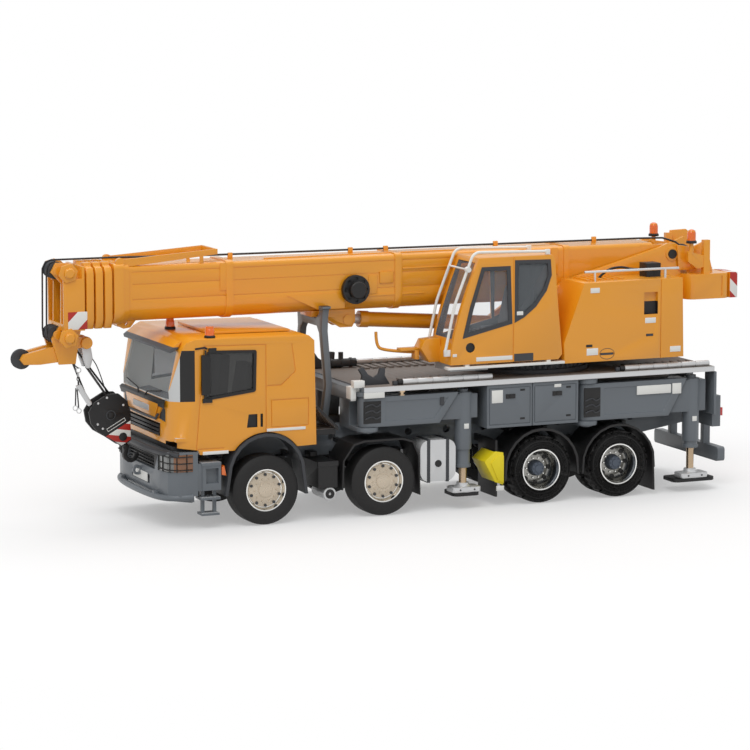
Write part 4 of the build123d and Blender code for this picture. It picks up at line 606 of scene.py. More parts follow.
dressed("chassis_frame", "carrier", paint_grey, 0.2, paints=(
    (lambda s, n: s.x > 108.9 and 22.9 < s.z < 26.4, red_lens),))
dressed("axles", "carrier", plastic_black, 0)
dressed("fuel_tank", "carrier", metal_silver, 0.15, paints=(
    (lambda s, n: abs(s.x - 6.0) < 0.62 or abs(s.x - 12.4) < 0.62, plastic_dark),
    (lambda s, n: abs(s.y) > 24.1 and abs(s.x - 9.2) < 1.3, plastic_black)))
dressed("muffler", "carrier", plastic_dark, 0)


def step_tread(spot, normal):
    """Top faces of the cab steps."""
    at_step = -69.1 < spot.x < -62.5 and (spot.z > 20.3 or 9.7 < spot.z < 9.9 or spot.z < 5.0)
    return normal.z > 0.7 and at_step


dressed("front_bumper", "carrier", paint_grey, 0.25, paints=(
    (lambda s, n: s.x < -77.5 and abs(s.y) < 12.5 and 17.3 < s.z < 21.7 and abs(n.x) > 0.6, plastic_black),
    (step_tread, pale_grey)))
dressed("front_wheel_arches", "carrier", plastic_dark, 0.15, paints=(
    (lambda s, n: s.x < -60.9 and 16.2 < s.z < 19.4 and abs(s.y) > 21.5, amber),))
dressed("wheel_arches", "carrier", plastic_black, 0.12)
dressed("service_boxes", "carrier", plastic_black, 0.3, paints=(
    (lambda s, n: s.z < 9.9, metal_silver),
    (lambda s, n: s.z > 27.3 and abs(n.z) > 0.4 and s.x < -23.9, chequer)))
dressed("deck", "carrier", deck_brown, 0.12, paints=(
    (lambda s, n: abs(n.y) > 0.5 and abs(s.y) > 25.2, metal_silver),
    (lambda s, n: s.x < -13.2 and s.z < DECK_Z, paint_grey),
    (lambda s, n: s.x < -16.2, paint_grey),
    (lambda s, n: 22.2 < abs(s.y) and s.z > DECK_Z + 0.05, metal_silver),
    (lambda s, n: s.x < -17.6 and abs(s.y) > 19.0 and s.z > 36.2, white_plate)))
dressed("side_boxes", "carrier", paint_grey, 0.2, paints=(
    (lambda s, n: abs(s.y) > 25.1, plastic_black),))
dressed("outrigger_frames", "carrier", paint_grey, 0.2)
dressed("boom_rest", "carrier", paint_grey, 0.3, paints=(
    (lambda s, n: s.z > 63.0 and abs(n.z) > 0.5, plastic_black),))
dressed("slewing_ring", "carrier", plastic_dark, 0)

for axle in (1, 2):
    for side in ("left", "right"):
        dressed(f"knuckle_{axle}_{side}", f"steer_{axle}_{side}", plastic_black, 0)


# Outriggers

for end, pad_top in (("front", 5.45), ("rear", 4.45)):
    for side in ("left", "right"):
        place = f"{end}_{side}"
        dressed(f"outrigger_beam_{place}", f"outrigger_{place}", paint_grey, 0.25)
        dressed(f"outrigger_slide_{place}", f"extension_{place}", paint_grey, 0.2)
        dressed(f"outrigger_jack_{place}", f"jack_{place}", metal_silver, 0.15, paints=(
            (lambda s, n, top=pad_top: s.z < top, plastic_black),
            (lambda s, n: s.z > 9.0, metal_brass)))

SLEEVE_Y = 24.5


def pivot_recess(pivot_x, low_z, high_z):
    """The dark recess at an outrigger's pivot, with its three hoses."""
    low = (pivot_x - 2.2, -SLEEVE_Y - 0.12, low_z + 1.2)
    high = (pivot_x + 3.6, -SLEEVE_Y + 0.3, high_z - 1.2)
    made = [bar(low, high, plastic_black, 0.2)]
    for hose in range(3):
        hose_z = low_z + 2.6 + 1.9 * hose
        route = ((-1.8, 0.25, 0), (0.4, 0.4, 1.2), (1.8, 0.35, -0.4), (3.3, 0.2, 0.6))
        points = [(pivot_x + x, -SLEEVE_Y - proud, hose_z + z) for x, proud, z in route]
        made.append(tube(points, 0.22, plastic_dark, smooth=True))
    return made


def jack_foot(jack_x, foot_z):
    """The silver plate on a jack's pad, with two dark studs."""
    octagon = ((-4.9, -24.6), (-4.2, -25.3), (4.2, -25.3), (4.9, -24.6), (4.9, -20.2), (4.2, -19.4),
               (-4.2, -19.4), (-4.9, -20.2))
    outline = [(jack_x + x, y) for x, y in octagon]
    made = [plate("xy", outline, foot_z, foot_z + 1.7, metal_silver, 0.35)]
    stud = [(-25.2, 0), (-25.2, 0.32), (-25.42, 0.28), (-25.42, 0)]
    for stud_x in (-2.4, 2.4):
        made.append(turned(stud, (jack_x + stud_x, 0, foot_z + 0.85), plastic_dark, steps=12))
    return made


PLATES_ON_BEAM = {
    "front": [((9.6, -SLEEVE_Y - 0.15, 33.2), (11.0, -SLEEVE_Y + 0.2, 35.8), plastic_dark)],
    "rear": [((78.0, -SLEEVE_Y - 0.2, 32.4), (90.2, -SLEEVE_Y + 0.2, 35.2), white_plate),
             ((90.7, -SLEEVE_Y - 0.2, 32.0), (93.9, -SLEEVE_Y + 0.2, 35.4), white_plate)],
}
OUTRIGGERS = (("front", -13.8, 27.7, 37.0, 18.7, 5.4), ("rear", 61.5, 25.1, 36.8, 99.0, 4.4))
for end, pivot_x, low_z, high_z, jack_x, foot_z in OUTRIGGERS:
    beam_details = pivot_recess(pivot_x, low_z, high_z)
    beam_details += [bar(*block) for block in PLATES_ON_BEAM[end]]
    label = bar((jack_x - 0.8, -24.45, low_z - 2.4), (jack_x + 0.8, -24.2, low_z - 0.8), white_plate)
    fittings = (("beam", "outrigger", beam_details), ("slide", "extension", [label]),
                ("foot", "jack", jack_foot(jack_x, foot_z)))
    for kind, body, parts in fittings:
        twins = mirrored(parts)
        settle(f"{kind}_{end}_left_details", f"{body}_{end}_left", "carrier_grey", parts)
        settle(f"{kind}_{end}_right_details", f"{body}_{end}_right", "carrier_grey", twins)


# Wheel chocks and deck fittings

chock_point = ((24.6, 14.6), (28.3, 17.6), (31.2, 17.1), (31.2, 6.9), (28.3, 7.9))
chock_ridge = ((26.7, 14.1), (29.2, 16.5), (31.2, 16.2), (31.2, 7.4), (29.2, 8.4))
chocks = [
    plate("xz", chock_point, -24.9, -24.3, chock_yellow, 0.15),
    plate("xz", chock_ridge, -25.35, -24.8, chock_yellow, 0.2),
    plate("xz", ((24.6, 14.6), (28.2, 17.6), (28.2, 7.9)), -24.4, -15.4, chock_yellow, 0.3),
    bar((28.7, -25.3, 5.1), (31.3, -24.7, 6.7), white_plate),
]
settle("wheel_chocks_finished", "carrier", "crane_yellow", both(chocks), "wheel_chocks")

tank_end = [(-23.9, 0.4), (-23.9, 1.5), (-24.35, 1.4), (-24.35, 0.5)]
deck_details = [
    bar((-16.2, -25.45, 36.8), (-9.4, -25.0, 39.2), white_plate),
    bar((-19.0, -24.0, 40.0), (-15.4, -21.6, 42.2), white_plate),
    bar((105.6, -25.0, 24.4), (106.6, -18.6, 38.4), paint_grey, 0.3),
    turned(tank_end, (-27.0, 0, 8.0), plastic_black, steps=24),
]
tip_outline = ((1.6, 0), (1.6, 0.8), (1.3, 1.0), (0.1, 1.0), (0.1, 0))
for tube_x in (-2.7, 73.9):
    tip = [(tube_x - back, radius) for back, radius in tip_outline]
    deck_details.append(turned(tip, (0, -23.5, 41.1), plastic_black, axis="x", steps=20))
    deck_details.append(bar((tube_x - 3.2, -24.2, 40.1), (tube_x - 1.7, -22.8, 41.6), plastic_dark, 0.3))
saddle = ((-15.5, 40.1), (-14.8, 43.2), (-16.0, 45.2), (-14.4, 45.9), (-12.8, 43.6), (-11.0, 42.5),
          (-9.4, 43.4), (-8.8, 45.4), (-7.0, 45.2), (-7.2, 43.0), (-5.4, 40.1))
deck_details.append(plate("xz", saddle, -20.6, -19.4, plastic_dark, 0.25))
pivot_bolt = [(38.7, 0), (38.7, 1.1), (38.0, 1.1), (38.0, 0.6), (37.3, 0.6), (37.3, 1.0), (37.0, 1.0),
              (37.0, 0)]
deck_details.append(turned(pivot_bolt, (-2.9, -23.6, 0), metal_brass, axis="z", steps=20))
for box_x in (38.4, 54.4):
    for latch_z in (27.2, 36.2):
        deck_details.append(bar((box_x - 1.6, -25.12, latch_z), (box_x, -24.9, latch_z + 0.6), plastic_black))
deck_details.append(bar((27.0, -25.12, 32.8), (30.8, -24.9, 36.8), white_plate))
deck_details.append(bar((48.6, -25.12, 36.6), (51.0, -24.9, 37.6), white_plate))
settle("deck_details", "carrier", "carrier_grey", both(deck_details))


# Truck cab

CAB_Y = 24.5
CAB_MIDDLE = Vector((-55.0, 0.0, 42.0))


def inner_cab(spot, normal):
    """Faces of the truck cab that look inwards."""
    within = abs(spot.y) < CAB_Y - 0.6 and -78.2 < spot.x < -33.0 and 28.0 < spot.z < 56.8
    return within and normal.dot(CAB_MIDDLE - spot) > 0


def at_screen(spot, normal):
    """Outer faces of the corner beside the windscreen."""
    return spot.x < -70.6 and 39.0 < spot.z < 54.6 and abs(spot.y) > 19.0 and not inner_cab(spot, normal)


def window_reveal(spot, normal):
    """The edges of the door window's opening."""
    return -68.2 < spot.x < -50.8 and 39.0 < spot.z < 54.4 and abs(spot.y) > 23.0 and abs(normal.y) < 0.5


def handle_recess(spot, normal):
    """The recess behind the door handle."""
    return -54.6 < spot.x < -48.8 and 30.0 < spot.z < 34.4 and 23.5 < abs(spot.y) < 24.4


dressed("truck_cab", "carrier", paint_yellow, 0.3,
        cuts=(at_z(39.1), at_z(54.5), at_z(27.8), at_x(-70.7), at_x(-68.6)), paints=(
            # inward faces take the pale lining with its painted glow
            (inner_cab, cabin_lining_painted_glow),
            (at_screen, plastic_black),
            (lambda s, n: at_screen(s, n) and s.z < 53.6 and n.x < -0.6, screen_edge),
            (window_reveal, plastic_black),
            (handle_recess, plastic_black),
            (lambda s, n: abs(s.x + 78.1) < 0.06 and abs(s.y) < 15.2 and 27.7 < s.z < 31.9, plastic_black),
            (lambda s, n: abs(s.x + 78.0) < 0.06 and 12.0 < abs(s.y) < 21.4 and n.x < -0.99, plastic_dark)))
dressed("truck_cab_glazing", "carrier", window_glass, 0, paints=(
    # side panes take the glass with painted shade
    (lambda s, n: abs(s.y) > 20.0 and s.z > 30, painted_shade_side_glass),
    (lambda s, n: s.z < 30, head_light)))
dressed("truck_cab_interior", "carrier", dark_seat, 0.4)
trim = dressed("truck_cab_trim", "carrier", plastic_black, 0.2, cuts=(at_z(55.3),), paints=(
    (lambda s, n: s.z > 58.2 and (s.x < -67.3 or abs(s.y) > 18), amber),
    (lambda s, n: s.x > -62.5 and s.z > 57.0, paint_yellow),
    (lambda s, n: s.x < -73.0 and 53.0 < s.z < 55.3, visor_grey),
    (lambda s, n: s.x < -73.0 and 55.3 < s.z < 57.2, paint_yellow)))
MIRROR_SHIFT = 3.6
for corner in trim.data.vertices:
    if abs(corner.co.y) > (CAB_Y - 0.05) * MM and corner.co.z < 56.0 * MM:
        corner.co.x += MIRROR_SHIFT * MM

side_window = ((-66.2, 54.2), (-51.4, 53.7), (-51.0, 53.2), (-51.3, 41.5), (-51.8, 41.0), (-67.4, 39.2),
               (-67.9, 39.8), (-66.8, 53.8))
lamp_side = ((-71.6, -24.8), (-75.7, -24.8), (-77.4, -23.5), (-76.6, -22.6), (-75.2, -23.6), (-71.6, -23.6))
lamp_front = ((-77.3, -23.6), (-78.85, -22.1), (-79.75, -16.9), (-78.5, -16.9), (-77.8, -21.2),
              (-76.4, -22.6))
cab_side_details = [
    flat_ring(side_window, 0.9, -24.75, -24.3, plastic_black),
    tube([(x, -24.6, z) for x, z in ((-70.6, 54.9), (-67.6, 55.2), (-66.8, 54.8))], 0.3, plastic_black),
    bar((-68.4, -24.75, 22.8), (-60.2, -24.4, 23.8), white_plate),
    bar((-47.8, -24.75, 28.6), (-35.2, -24.4, 29.5), white_plate),
    plate("xy", lamp_side, 18.0, 23.2, smoked_amber),
    plate("xy", lamp_front, 18.0, 23.2, smoked_lens),
    bar((-71.6, -24.4, 56.2), (-69.6, -23.2, 57.2), amber, 0.3),
    tube(((-78.9, -3.0, 38.9), (-78.6, -4.5, 40.2), (-78.2, -15.5, 41.6)), 0.22, plastic_black),
    tube(((-78.9, -3.0, 38.9), (-78.9, -3.0, 38.0)), 0.35, plastic_black),
]
for height in (18.6, 20.6, 22.6):
    cab_side_details.append(tube(((-71.8, -24.95, height), (-75.8, -24.95, height), (-79.0, -22.3, height),
                                  (-79.9, -16.6, height)), 0.16, plastic_black))
for guard_x, guard_y in ((-73.6, -24.95), (-76.6, -24.3), (-78.3, -22.8), (-79.45, -19.6), (-79.85, -17.0)):
    cab_side_details.append(tube(((guard_x, guard_y, 17.9), (guard_x, guard_y, 23.4)), 0.16, plastic_black))
settle("cab_side_details", "carrier", "black_plastic", both(cab_side_details))


def across(half, *middle):
    """A route over the front: half of it on the left, a middle, and its mirror image."""
    return list(half) + list(middle) + [(x, -y, z) for x, y, z in reversed(half)]


bumper_lip = ((-71.6, -24.6, 10.3), (-76.8, -23.8, 10.1), (-79.9, -19.5, 9.9), (-81.2, -9.0, 9.8))
bumper_top = ((-75.8, -24.3, 23.1), (-78.7, -21.6, 23.3), (-80.0, -14.0, 23.4))
badge_outline = ((-14.5, 37.6), (14.5, 37.6), (12.0, 33.2), (-12.0, 33.2))
front_details = [
    plate("yz", badge_outline, -79.1, -78.6, paint_yellow, 0.2),
    bar((-79.35, -7.0, 34.5), (-79.0, 7.0, 36.3), pale_grey),
    bar((-79.75, -6.5, 12.6), (-79.5, 6.5, 15.4), white_plate),
    bar((-79.2, 11.2, 28.9), (-78.7, 12.2, 29.7), amber),
]
for bar_z in (17.9, 18.9, 19.9, 20.9):
    front_details.append(bar((-79.1, -12.2, bar_z), (-78.5, 12.2, bar_z + 0.35), plastic_black))
front_details += [
    tube(across(((-78.9, -14.2, 34.4), (-79.0, -12.6, 32.9)), (-79.05, 0, 32.7)), 0.42, plastic_dark),
    # a block fills the gap between grille and bumper; its black colour is painted shade under the cab
    bar((-76.7, -21.0, 20.5), (-71.0, 21.0, 25.3), plastic_black),
    tube(across(bumper_lip), 0.95, paint_grey, smooth=True, sides=5),
    tube(across(bumper_top, (-80.2, 0, 23.4)), 0.85, plastic_dark, smooth=True, sides=5),
]
for foot_y in (-15.0, 15.0):
    front_details.append(bar((-80.9, foot_y - 1.0, 9.6), (-78.6, foot_y + 1.0, 11.4), paint_grey))
settle("cab_front_details", "carrier", "crane_yellow", front_details)

roof_beacons = beacon(-68.7, 2.5, 58.0, 61.2) + beacon(-64.6, -21.0, 57.8, 61.0)
settle("cab_beacons", "carrier", "crane_yellow", roof_beacons)


# Superstructure

dressed("turntable_frame", "superstructure", paint_yellow, 0.3, paints=(
    (lambda s, n: s.z < 45.3 and s.x < 92, plastic_dark),
    (lambda s, n: s.x > 117.3, board_stripes),
    (lambda s, n: abs(s.y) > 9.5 and 72.0 < s.z < 77.0 and 96.0 < s.x < 101.0, metal_silver),
    (lambda s, n: 9.3 < abs(s.y) < 9.9 and 96.0 < s.x < 101.0, plastic_black)))
dressed("machinery_house", "superstructure", paint_yellow, 0.35, cuts=(at_z(62.0),), paints=(
    (lambda s, n: s.z > 69.8 and s.x < 94.0 and abs(s.y) > 21.4, metal_silver),
    (lambda s, n: s.z > 69.4 and abs(s.y) < 20.0 and s.x > 83.5, plastic_black),
    # the lower part of the side pocket, below the cut at z 62, is painted black: painted shade in the recess
    (lambda s, n: 79.9 < s.x < 85.0 and 57.9 < s.z < 62.0 and 23.3 < abs(s.y) < 24.6, plastic_black)))

CRANE_CAB_MIDDLE = Vector((33.0, -17.0, 61.0))


def inner_crane_cab(spot, normal):
    """Faces of the crane cab that look inwards."""
    within = 13.6 < spot.x < 50.4 and -24.4 < spot.y < -10.0 and 46.2 < spot.z < 77.6
    return within and normal.dot(CRANE_CAB_MIDDLE - spot) > 0


dressed("crane_cab", "superstructure", paint_yellow, 0.3, paints=(
    (inner_crane_cab, dark_seat),
    (lambda s, n: 18.0 < s.x < 21.2 and 49.0 < s.z < 52.2 and s.y < -24.0 and s.y > -24.95, plastic_black),
    (lambda s, n: 13.9 < s.x < 27.1 and s.z < 45.3, pale_grey)))
dressed("crane_cab_glazing", "superstructure", window_glass, 0)
dressed("crane_cab_interior", "superstructure", dark_seat, 0.5)
dressed("crane_cab_guard", "superstructure", white_plate, 0.08)
dressed("winch_drum", "winch", plastic_dark, 0.1)
dressed("luff_barrel", "cylinder_barrel", paint_yellow, 0.15)
dressed("luff_rod", "cylinder_rod", metal_silver, 0.1)

door_window = ((23.4, 75.4), (33.2, 75.4), (33.9, 57.4), (17.0, 53.5), (19.4, 63.0))
quarter_window = ((34.7, 77.1), (47.0, 76.9), (47.4, 72.0), (45.7, 67.2), (42.0, 62.3), (38.0, 59.2),
                  (34.7, 57.6))
feed_pipe = ((-3.5, -5.0, 54.4), (-3.5, -5.0, 50.2), (-2.0, -7.5, 48.7), (5.8, -12.5, 48.5))
cab_details = [
    flat_ring(door_window, 1.3, -25.1, -24.7, plastic_dark),
    flat_ring(quarter_window, 1.2, -25.1, -24.7, plastic_dark),
    bar((13.6, -25.2, 48.0), (15.0, -24.7, 48.9), white_plate),
    bar((21.6, -25.15, 46.2), (34.0, -24.9, 47.5), white_plate),
    bar((34.6, -25.15, 45.5), (41.2, -24.7, 47.9), plastic_dark),
    bar((35.4, -25.2, 59.9), (37.6, -24.9, 61.1), white_plate),
    tube(feed_pipe, 0.5, paint_yellow, smooth=True),
    bar((0.6, -14.6, 49.2), (7.2, -11.6, 50.1), paint_yellow),
    bar((5.6, -14.6, 46.4), (7.0, -11.6, 49.6), paint_yellow),
    turned([(-25.2, 0), (-25.2, 0.85), (-23.6, 0.85), (-23.6, 0)], (18.9, 0, 74.8), white_plate, steps=20),
]
settle("crane_cab_details", "superstructure", "black_plastic", cab_details)

oval_badge = [(67.0 + 2.6 * math.cos(turn * math.pi / 8), -24.98, 46.2 + 1.7 * math.sin(turn * math.pi / 8))
              for turn in range(16)]
roof_hose = ((68.0, -16.5, 69.0), (70.5, -16.5, 71.6), (76.0, -16.5, 72.6), (81.0, -16.5, 71.2),
             (84.5, -16.5, 71.4))
house_details = [
    bar((59.8, -25.15, 46.0), (63.8, -24.9, 48.2), white_plate),
    bar((59.6, -25.15, 48.6), (61.8, -24.9, 49.4), plastic_black),
    bar((89.4, -25.15, 45.6), (93.2, -24.9, 47.4), white_plate),
    bar((61.0, -25.15, 65.6), (64.2, -24.9, 67.2), white_plate),
    tube(oval_badge, 0.09, plastic_dark, closed=True),
    bar((64.8, -25.06, 45.8), (69.2, -24.6, 46.5), plastic_dark),
    bar((81.0, -25.06, 51.0), (83.3, -24.6, 51.8), plastic_dark),
    bar((80.4, -25.1, 55.2), (84.2, -24.9, 56.9), white_plate, 0.3),
    tube(roof_hose, 0.4, plastic_black, smooth=True),
]
settle("house_details", "superstructure", "crane_yellow", both(house_details))


far_plate = ((109.4, 68.6), (109.4, 80.2), (115.4, 80.4), (117.0, 79.0), (118.8, 68.6))
drum_guard = ((100.0, 77.8), (105.9, 76.9), (108.4, 75.4), (108.4, 70.6), (105.4, 69.6), (100.6, 69.6))
tail_details = beacon(103.4, -12.8, 78.8, 83.0) + beacon(103.4, 12.8, 78.8, 83.0) + [
    plate("xz", far_plate, 12.6, 13.4, paint_yellow, 0.3),
    bar((111.6, 12.3, 74.4), (113.9, 12.6, 76.6), white_plate),
    turned([(12.0, 0), (12.0, 0.8), (12.6, 0.9), (12.6, 0)], (116.2, 0, 71.0), plastic_black, steps=20),
    tube(((101.2, 2.8, 78.9), (106.0, 2.8, 77.4), (109.2, 2.8, 75.1)), 0.32, rope_dark),
]
for drum_y in (-9.6, 9.0):
    tail_details.append(plate("xz", drum_guard, drum_y, drum_y + 0.6, paint_yellow, 0.2))
settle("tail_details", "superstructure", "crane_yellow", tail_details)


# Boom

dressed("boom_base", "boom", paint_yellow, 0.25)
for number in (1, 2, 3):
    dressed(f"tele_{number}", f"section_{number}", paint_yellow, 0.15)
dressed("tele_4", "section_4", paint_yellow, 0.12, paints=(
    (lambda s, n: (s.x + 106.5) ** 2 + (s.z - 77.8) ** 2 < 7.2 and abs(s.y) < 3.1, plastic_dark),
    (lambda s, n: (s.x + 106.8) ** 2 + (s.z - 58.6) ** 2 < 7.2 and abs(s.y) < 3.1, plastic_dark),
    (lambda s, n: (s.x + 117.0) ** 2 + (s.z - 51.4) ** 2 < 9.6 and abs(s.y) < 1.2, plastic_dark)))
dressed("cable_reel", "boom", plastic_black, 0.2)
dressed("hook_block", "hook_assembly", plastic_black, 0.15)
dressed("hook", "hook_swivel", plastic_black, 0.3)

boom_details = []
for band_x in (-56.0, 31.5, 44.0, 56.0):
    boom_details.append(bar((band_x, -7.35, 70.0), (band_x + 2.4, -6.9, 78.4), paint_yellow, 0.15))
boom_details.append(bar((34.0, -7.5, 67.6), (39.8, -6.9, 73.4), paint_yellow, 0.2))
boom_details = both(boom_details)
for guide_x in (-50.0, -10.0, 2.0, 40.0, 75.0):
    boom_details.append(bar((guide_x, 1.6, 78.4), (guide_x + 1.6, 2.4, 80.4), paint_yellow, 0.2))
boom_rope = ((-88.4, 2.0, 80.5), (-56.0, 2.0, 79.9), (40.0, 2.0, 79.4), (92.0, 2.0, 79.2), (100.6, 2.0, 79.0))
boom_details += [
    tube(boom_rope, 0.32, rope_dark),
    turned([(-9.0, 0), (-9.0, 2.7), (-11.0, 2.7), (-11.3, 2.4), (-11.3, 0)], (-11.8, 0, 68.4), plastic_black),
    bar((-6.9, -7.3, 66.6), (-4.0, -6.9, 72.4), paint_yellow),
    bar((-3.2, -7.5, 69.8), (1.4, -6.9, 73.4), paint_yellow, 0.2),
    bar((-6.9, -7.25, 65.9), (12.0, -6.9, 66.5), paint_yellow),
    bar((4.6, -7.25, 73.9), (28.0, -6.9, 74.4), paint_yellow),
    bar((-40.0, -3.2, 78.5), (40.0, -2.6, 78.9), paint_yellow),
]
settle("boom_details", "boom", "crane_yellow", boom_details)

head_plates = [
    bar((-104.6, -8.0, 60.4), (-98.6, -7.7, 65.7), plate_stripes),
    bar((-104.6, 7.7, 60.4), (-98.6, 8.0, 65.7), plate_stripes),
]
hexagon = [(3.1 * math.cos(math.radians(60 * turn + 14)), 3.1 * math.sin(math.radians(60 * turn + 14)))
           for turn in range(6)]
boss_nut = [(-8.2, 0), (-8.2, 1.7), (-8.9, 1.6), (-9.3, 1.2), (-9.4, 0)]
for boss_x, boss_z in ((-104.4, 77.4), (-104.5, 57.9)):
    outline = [(boss_x + x, boss_z + z) for x, z in hexagon]
    head_plates += both([
        plate("xz", outline, -8.3, -7.6, paint_yellow, 0.3),
        turned(boss_nut, (boss_x + 0.2, 0, boss_z), paint_yellow),
    ])
over_sheaves = ((-106.5, 80.55), (-108.3, 80.0), (-109.3, 78.0), (-109.5, 60.0), (-109.2, 57.6),
                (-107.4, 56.0))
for rope_y in (-2.0, 2.0):
    head_plates.append(tube([(x, rope_y, z) for x, z in over_sheaves], 0.27, rope_dark))
head_plates.append(tube(((-106.5, 2.0, 80.55), (-88.5, 2.0, 80.5)), 0.3, rope_dark))
socket_outline = ((-98.9, 55.2), (-95.9, 55.2), (-95.2, 50.6), (-96.0, 47.8), (-97.2, 47.8), (-98.3, 50.8))
head_plates += both([
    turned([(-3.9, 0), (-3.9, 1.7), (-3.2, 1.9), (-1.6, 1.9), (-1.6, 0)], (-97.4, 0, 55.6), paint_yellow),
    plate("xz", socket_outline, -2.6, -1.6, metal_silver, 0.3),
])
settle("head_plates", "section_4", "crane_yellow", head_plates)


# Hook block's stripes, its ropes and the hoist limit weight

HOOK_TILT = math.radians(29)
HOOK_TOP = (-92.8, 38.4)


def on_cheek(sideways, distance):
    """A side-view point on the tilted hook block."""
    x = HOOK_TOP[0] + math.cos(HOOK_TILT) * sideways + math.sin(HOOK_TILT) * distance
    z = HOOK_TOP[1] + math.sin(HOOK_TILT) * sideways - math.cos(HOOK_TILT) * distance
    return (x, z)


def loop(x, z, radius, wire, finish, tall=1.0, y=0.0, flat=True):
    """A closed ring of wire, in the side plane or across it."""
    points = []
    for turn in range(12):
        angle = math.radians(30 * turn)
        across = radius * math.cos(angle)
        spot = (x + across, y, z + radius * tall * math.sin(angle))
        points.append(spot if flat else (x, y + across, spot[2]))
    return tube(points, wire, finish, closed=True)


stripe_corners = ((-4.5, 10.8), (4.5, 10.8), (3.6, 12.3), (1.7, 15.9), (-1.7, 15.9), (-3.6, 12.3))
stripe_outline = [on_cheek(*spot) for spot in stripe_corners]
label_outline = [on_cheek(*spot) for spot in ((-3.2, 9.0), (3.2, 9.0), (3.2, 9.9), (-3.2, 9.9))]
hook_details = [
    plate("xz", stripe_outline, -3.05, -2.8, hook_stripes, 0.05),
    tube([(x, -3.0, z) for x, z in label_outline], 0.13, white_plate, closed=True),
]
screw = [(-2.8, 0), (-2.8, 0.38), (-3.1, 0.34), (-3.2, 0)]
pin_ring = [(-2.8, 1.5), (-2.8, 1.25), (-3.0, 1.25), (-3.0, 1.5)]
for sideways, distance in ((4.9, 5.4), (-4.9, 6.2), (-4.2, 8.2), (-1.6, 0.7), (1.6, 0.7)):
    x, z = on_cheek(sideways, distance)
    hook_details.append(turned(screw, (x, 0, z), metal_silver, steps=16))
pin_x, pin_z = on_cheek(0, 6.0)
hook_details.append(turned(pin_ring, (pin_x, 0, pin_z), plastic_dark))
hook_details = both(hook_details)
top_x, top_z = on_cheek(2.4, 0.4)
for strand_y in (-0.35, 0.35):
    hook_details.append(tube(((-96.6, strand_y, 48.0), (top_x, strand_y, top_z)), 0.3, rope_dark))
tie_wire = ((-95.6, 0.8, 51.6), (-93.6, 0.8, 49.6), (-91.6, 0.8, 44.6), (top_x + 0.7, 0.8, top_z - 0.3))
hook_details.append(tube(tie_wire, 0.16, plastic_black, smooth=True))
settle("hook_details", "hook_assembly", "black_plastic", hook_details)

weight_outline = ((-101.3, 42.9), (-99.7, 43.4), (-96.1, 37.2), (-97.3, 36.4))
limit_weight = [
    loop(-100.3, 47.6, 0.75, 0.14, metal_silver, y=-4.0),
    loop(-100.4, 46.2, 0.5, 0.14, metal_silver, y=-4.0, flat=False),
    loop(-100.4, 45.0, 0.42, 0.15, plastic_black, 1.5, -4.0),
    loop(-100.4, 43.7, 0.4, 0.15, plastic_black, 1.5, -4.0, False),
    plate("xz", weight_outline, -4.6, -3.2, metal_silver, 0.35),
    tube(((-101.2, -4.0, 42.2), (-101.4, -4.0, 37.0)), 0.2, plastic_black),
    tube(((-100.8, -4.0, 41.8), (-100.4, -4.0, 36.2)), 0.2, plastic_black),
    loop(-101.5, 36.2, 0.72, 0.13, metal_silver, y=-4.1),
    loop(-100.4, 35.3, 0.72, 0.13, metal_silver, y=-4.3),
    tube(((-101.8, -4.0, 50.6), (-101.4, -4.0, 49.0), (-100.3, -4.0, 48.2)), 0.2, plastic_black),
]
settle("hoist_limit_weight", "section_4", "silver_metal", limit_weight)


# Camera, floor and light

YAW = 23.408
PITCH = 8.0876
FOCAL_PIXELS = 3284.87
IMAGE_WIDTH = 750
SENSOR = 36.0

camera_data = bpy.data.cameras.new("camera")
camera_data.sensor_width = SENSOR
camera_data.lens = FOCAL_PIXELS / IMAGE_WIDTH * SENSOR
camera = bpy.data.objects.new("camera", camera_data)
camera.location = (-0.40638, -0.93495, 0.18484)
camera.rotation_euler = (math.radians(90 - PITCH), 0, math.radians(-YAW))
bpy.context.collection.objects.link(camera)
bpy.context.scene.camera = camera

FLOOR_SIZE = 16.0
bpy.ops.object.select_all(action="DESELECT")
bpy.ops.mesh.primitive_plane_add(size=FLOOR_SIZE)
floor = bpy.context.object
floor.name = "floor"

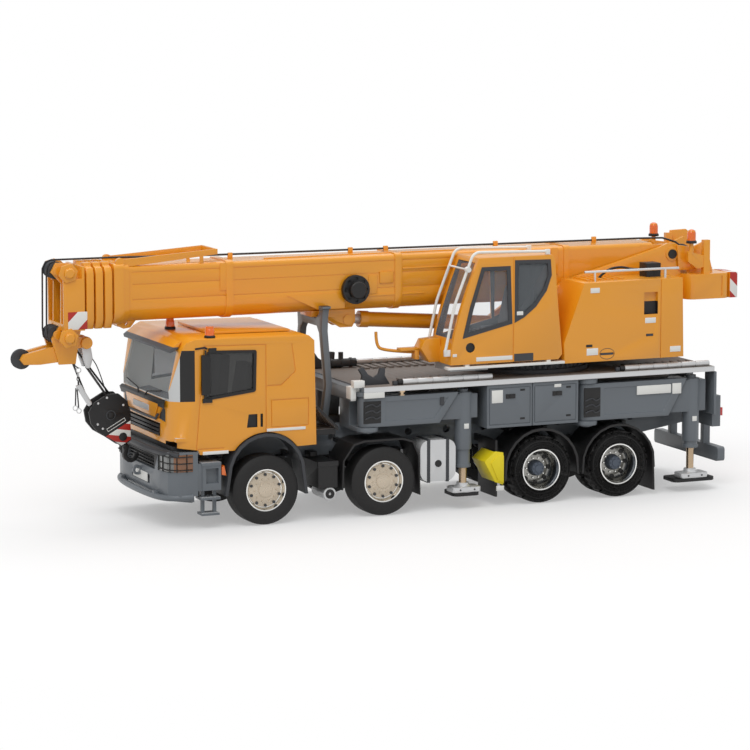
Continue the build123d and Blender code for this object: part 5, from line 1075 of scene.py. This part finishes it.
FLOOR_WHITE = (0.93, 0.93, 0.93, 1.0)
BOUNCE_GREY = (0.45, 0.45, 0.45, 1.0)
SHADOW_REACH = 0.13
WHITE_REACH = 0.28
NEAR_LIFT = 0.34
floor_finish = Finish("floor_white", Roughness=0.9, Base_Color=FLOOR_WHITE)
rays = floor_finish.node("ShaderNodeLightPath")
shown = rays.larger(rays.out("Is Glossy Ray")).larger(rays.out("Is Transmission Ray"))
reach = floor_finish.node("ShaderNodeVectorMath", {"operation": "LENGTH"}, {0: floor_finish.place()}, "Value")
far_off = floor_finish.node("ShaderNodeMapRange", {"interpolation_type": "SMOOTHSTEP"},
                            {"Value": reach, "From Min": SHADOW_REACH, "From Max": WHITE_REACH})
white = floor_finish.node("ShaderNodeEmission", None, {"Strength": 1.0})
bounce = floor_finish.node("ShaderNodeBsdfDiffuse", None, {"Color": BOUNCE_GREY})
lit = Value(floor_finish, floor_finish.shader.outputs["BSDF"])
whiteness = far_off * (1 - NEAR_LIFT) + NEAR_LIFT
seen_floor = floor_finish.node("ShaderNodeMixShader", None, {0: whiteness, 1: lit, 2: white})
whole_floor = floor_finish.node("ShaderNodeMixShader", None, {0: shown, 1: bounce, 2: seen_floor})
floor_finish.feed(floor_finish.tree.nodes["Material Output"].inputs["Surface"], whole_floor)
coat(floor, floor_finish)

world = bpy.data.worlds.new("studio")
bpy.context.scene.world = world
world.use_nodes = True
WORLD_STRENGTH = 0.72
world_tree = world.node_tree
background = world_tree.nodes["Background"]
background.inputs["Color"].default_value = (1, 1, 1, 1)
light_path = world_tree.nodes.new("ShaderNodeLightPath")
seen = world_tree.nodes.new("ShaderNodeMath")
seen.operation = "MAXIMUM"
world_tree.links.new(light_path.outputs["Is Camera Ray"], seen.inputs[0])
world_tree.links.new(light_path.outputs["Is Transmission Ray"], seen.inputs[1])
strength = world_tree.nodes.new("ShaderNodeMapRange")
world_tree.links.new(seen.outputs[0], strength.inputs["Value"])
strength.inputs["To Min"].default_value = WORLD_STRENGTH
strength.inputs["To Max"].default_value = 1.0
world_tree.links.new(strength.outputs["Result"], background.inputs["Strength"])


def softbox(name, place, target, size, power):
    """A square studio light that faces a point."""
    data = bpy.data.lights.new(name, "AREA")
    data.size = size
    data.energy = power
    lamp = bpy.data.objects.new(name, data)
    lamp.location = place
    lamp.rotation_euler = (Vector(target) - Vector(place)).to_track_quat("-Z", "Y").to_euler()
    bpy.context.collection.objects.link(lamp)


softbox("key_light", (-0.5, -0.7, 1.1), (0, 0, 0.04), 0.7, 5.0)
softbox("top_light", (0.3, 0.3, 1.2), (0, 0, 0.04), 0.9, 4.0)

bpy.context.scene.view_settings.view_transform = "Standard"
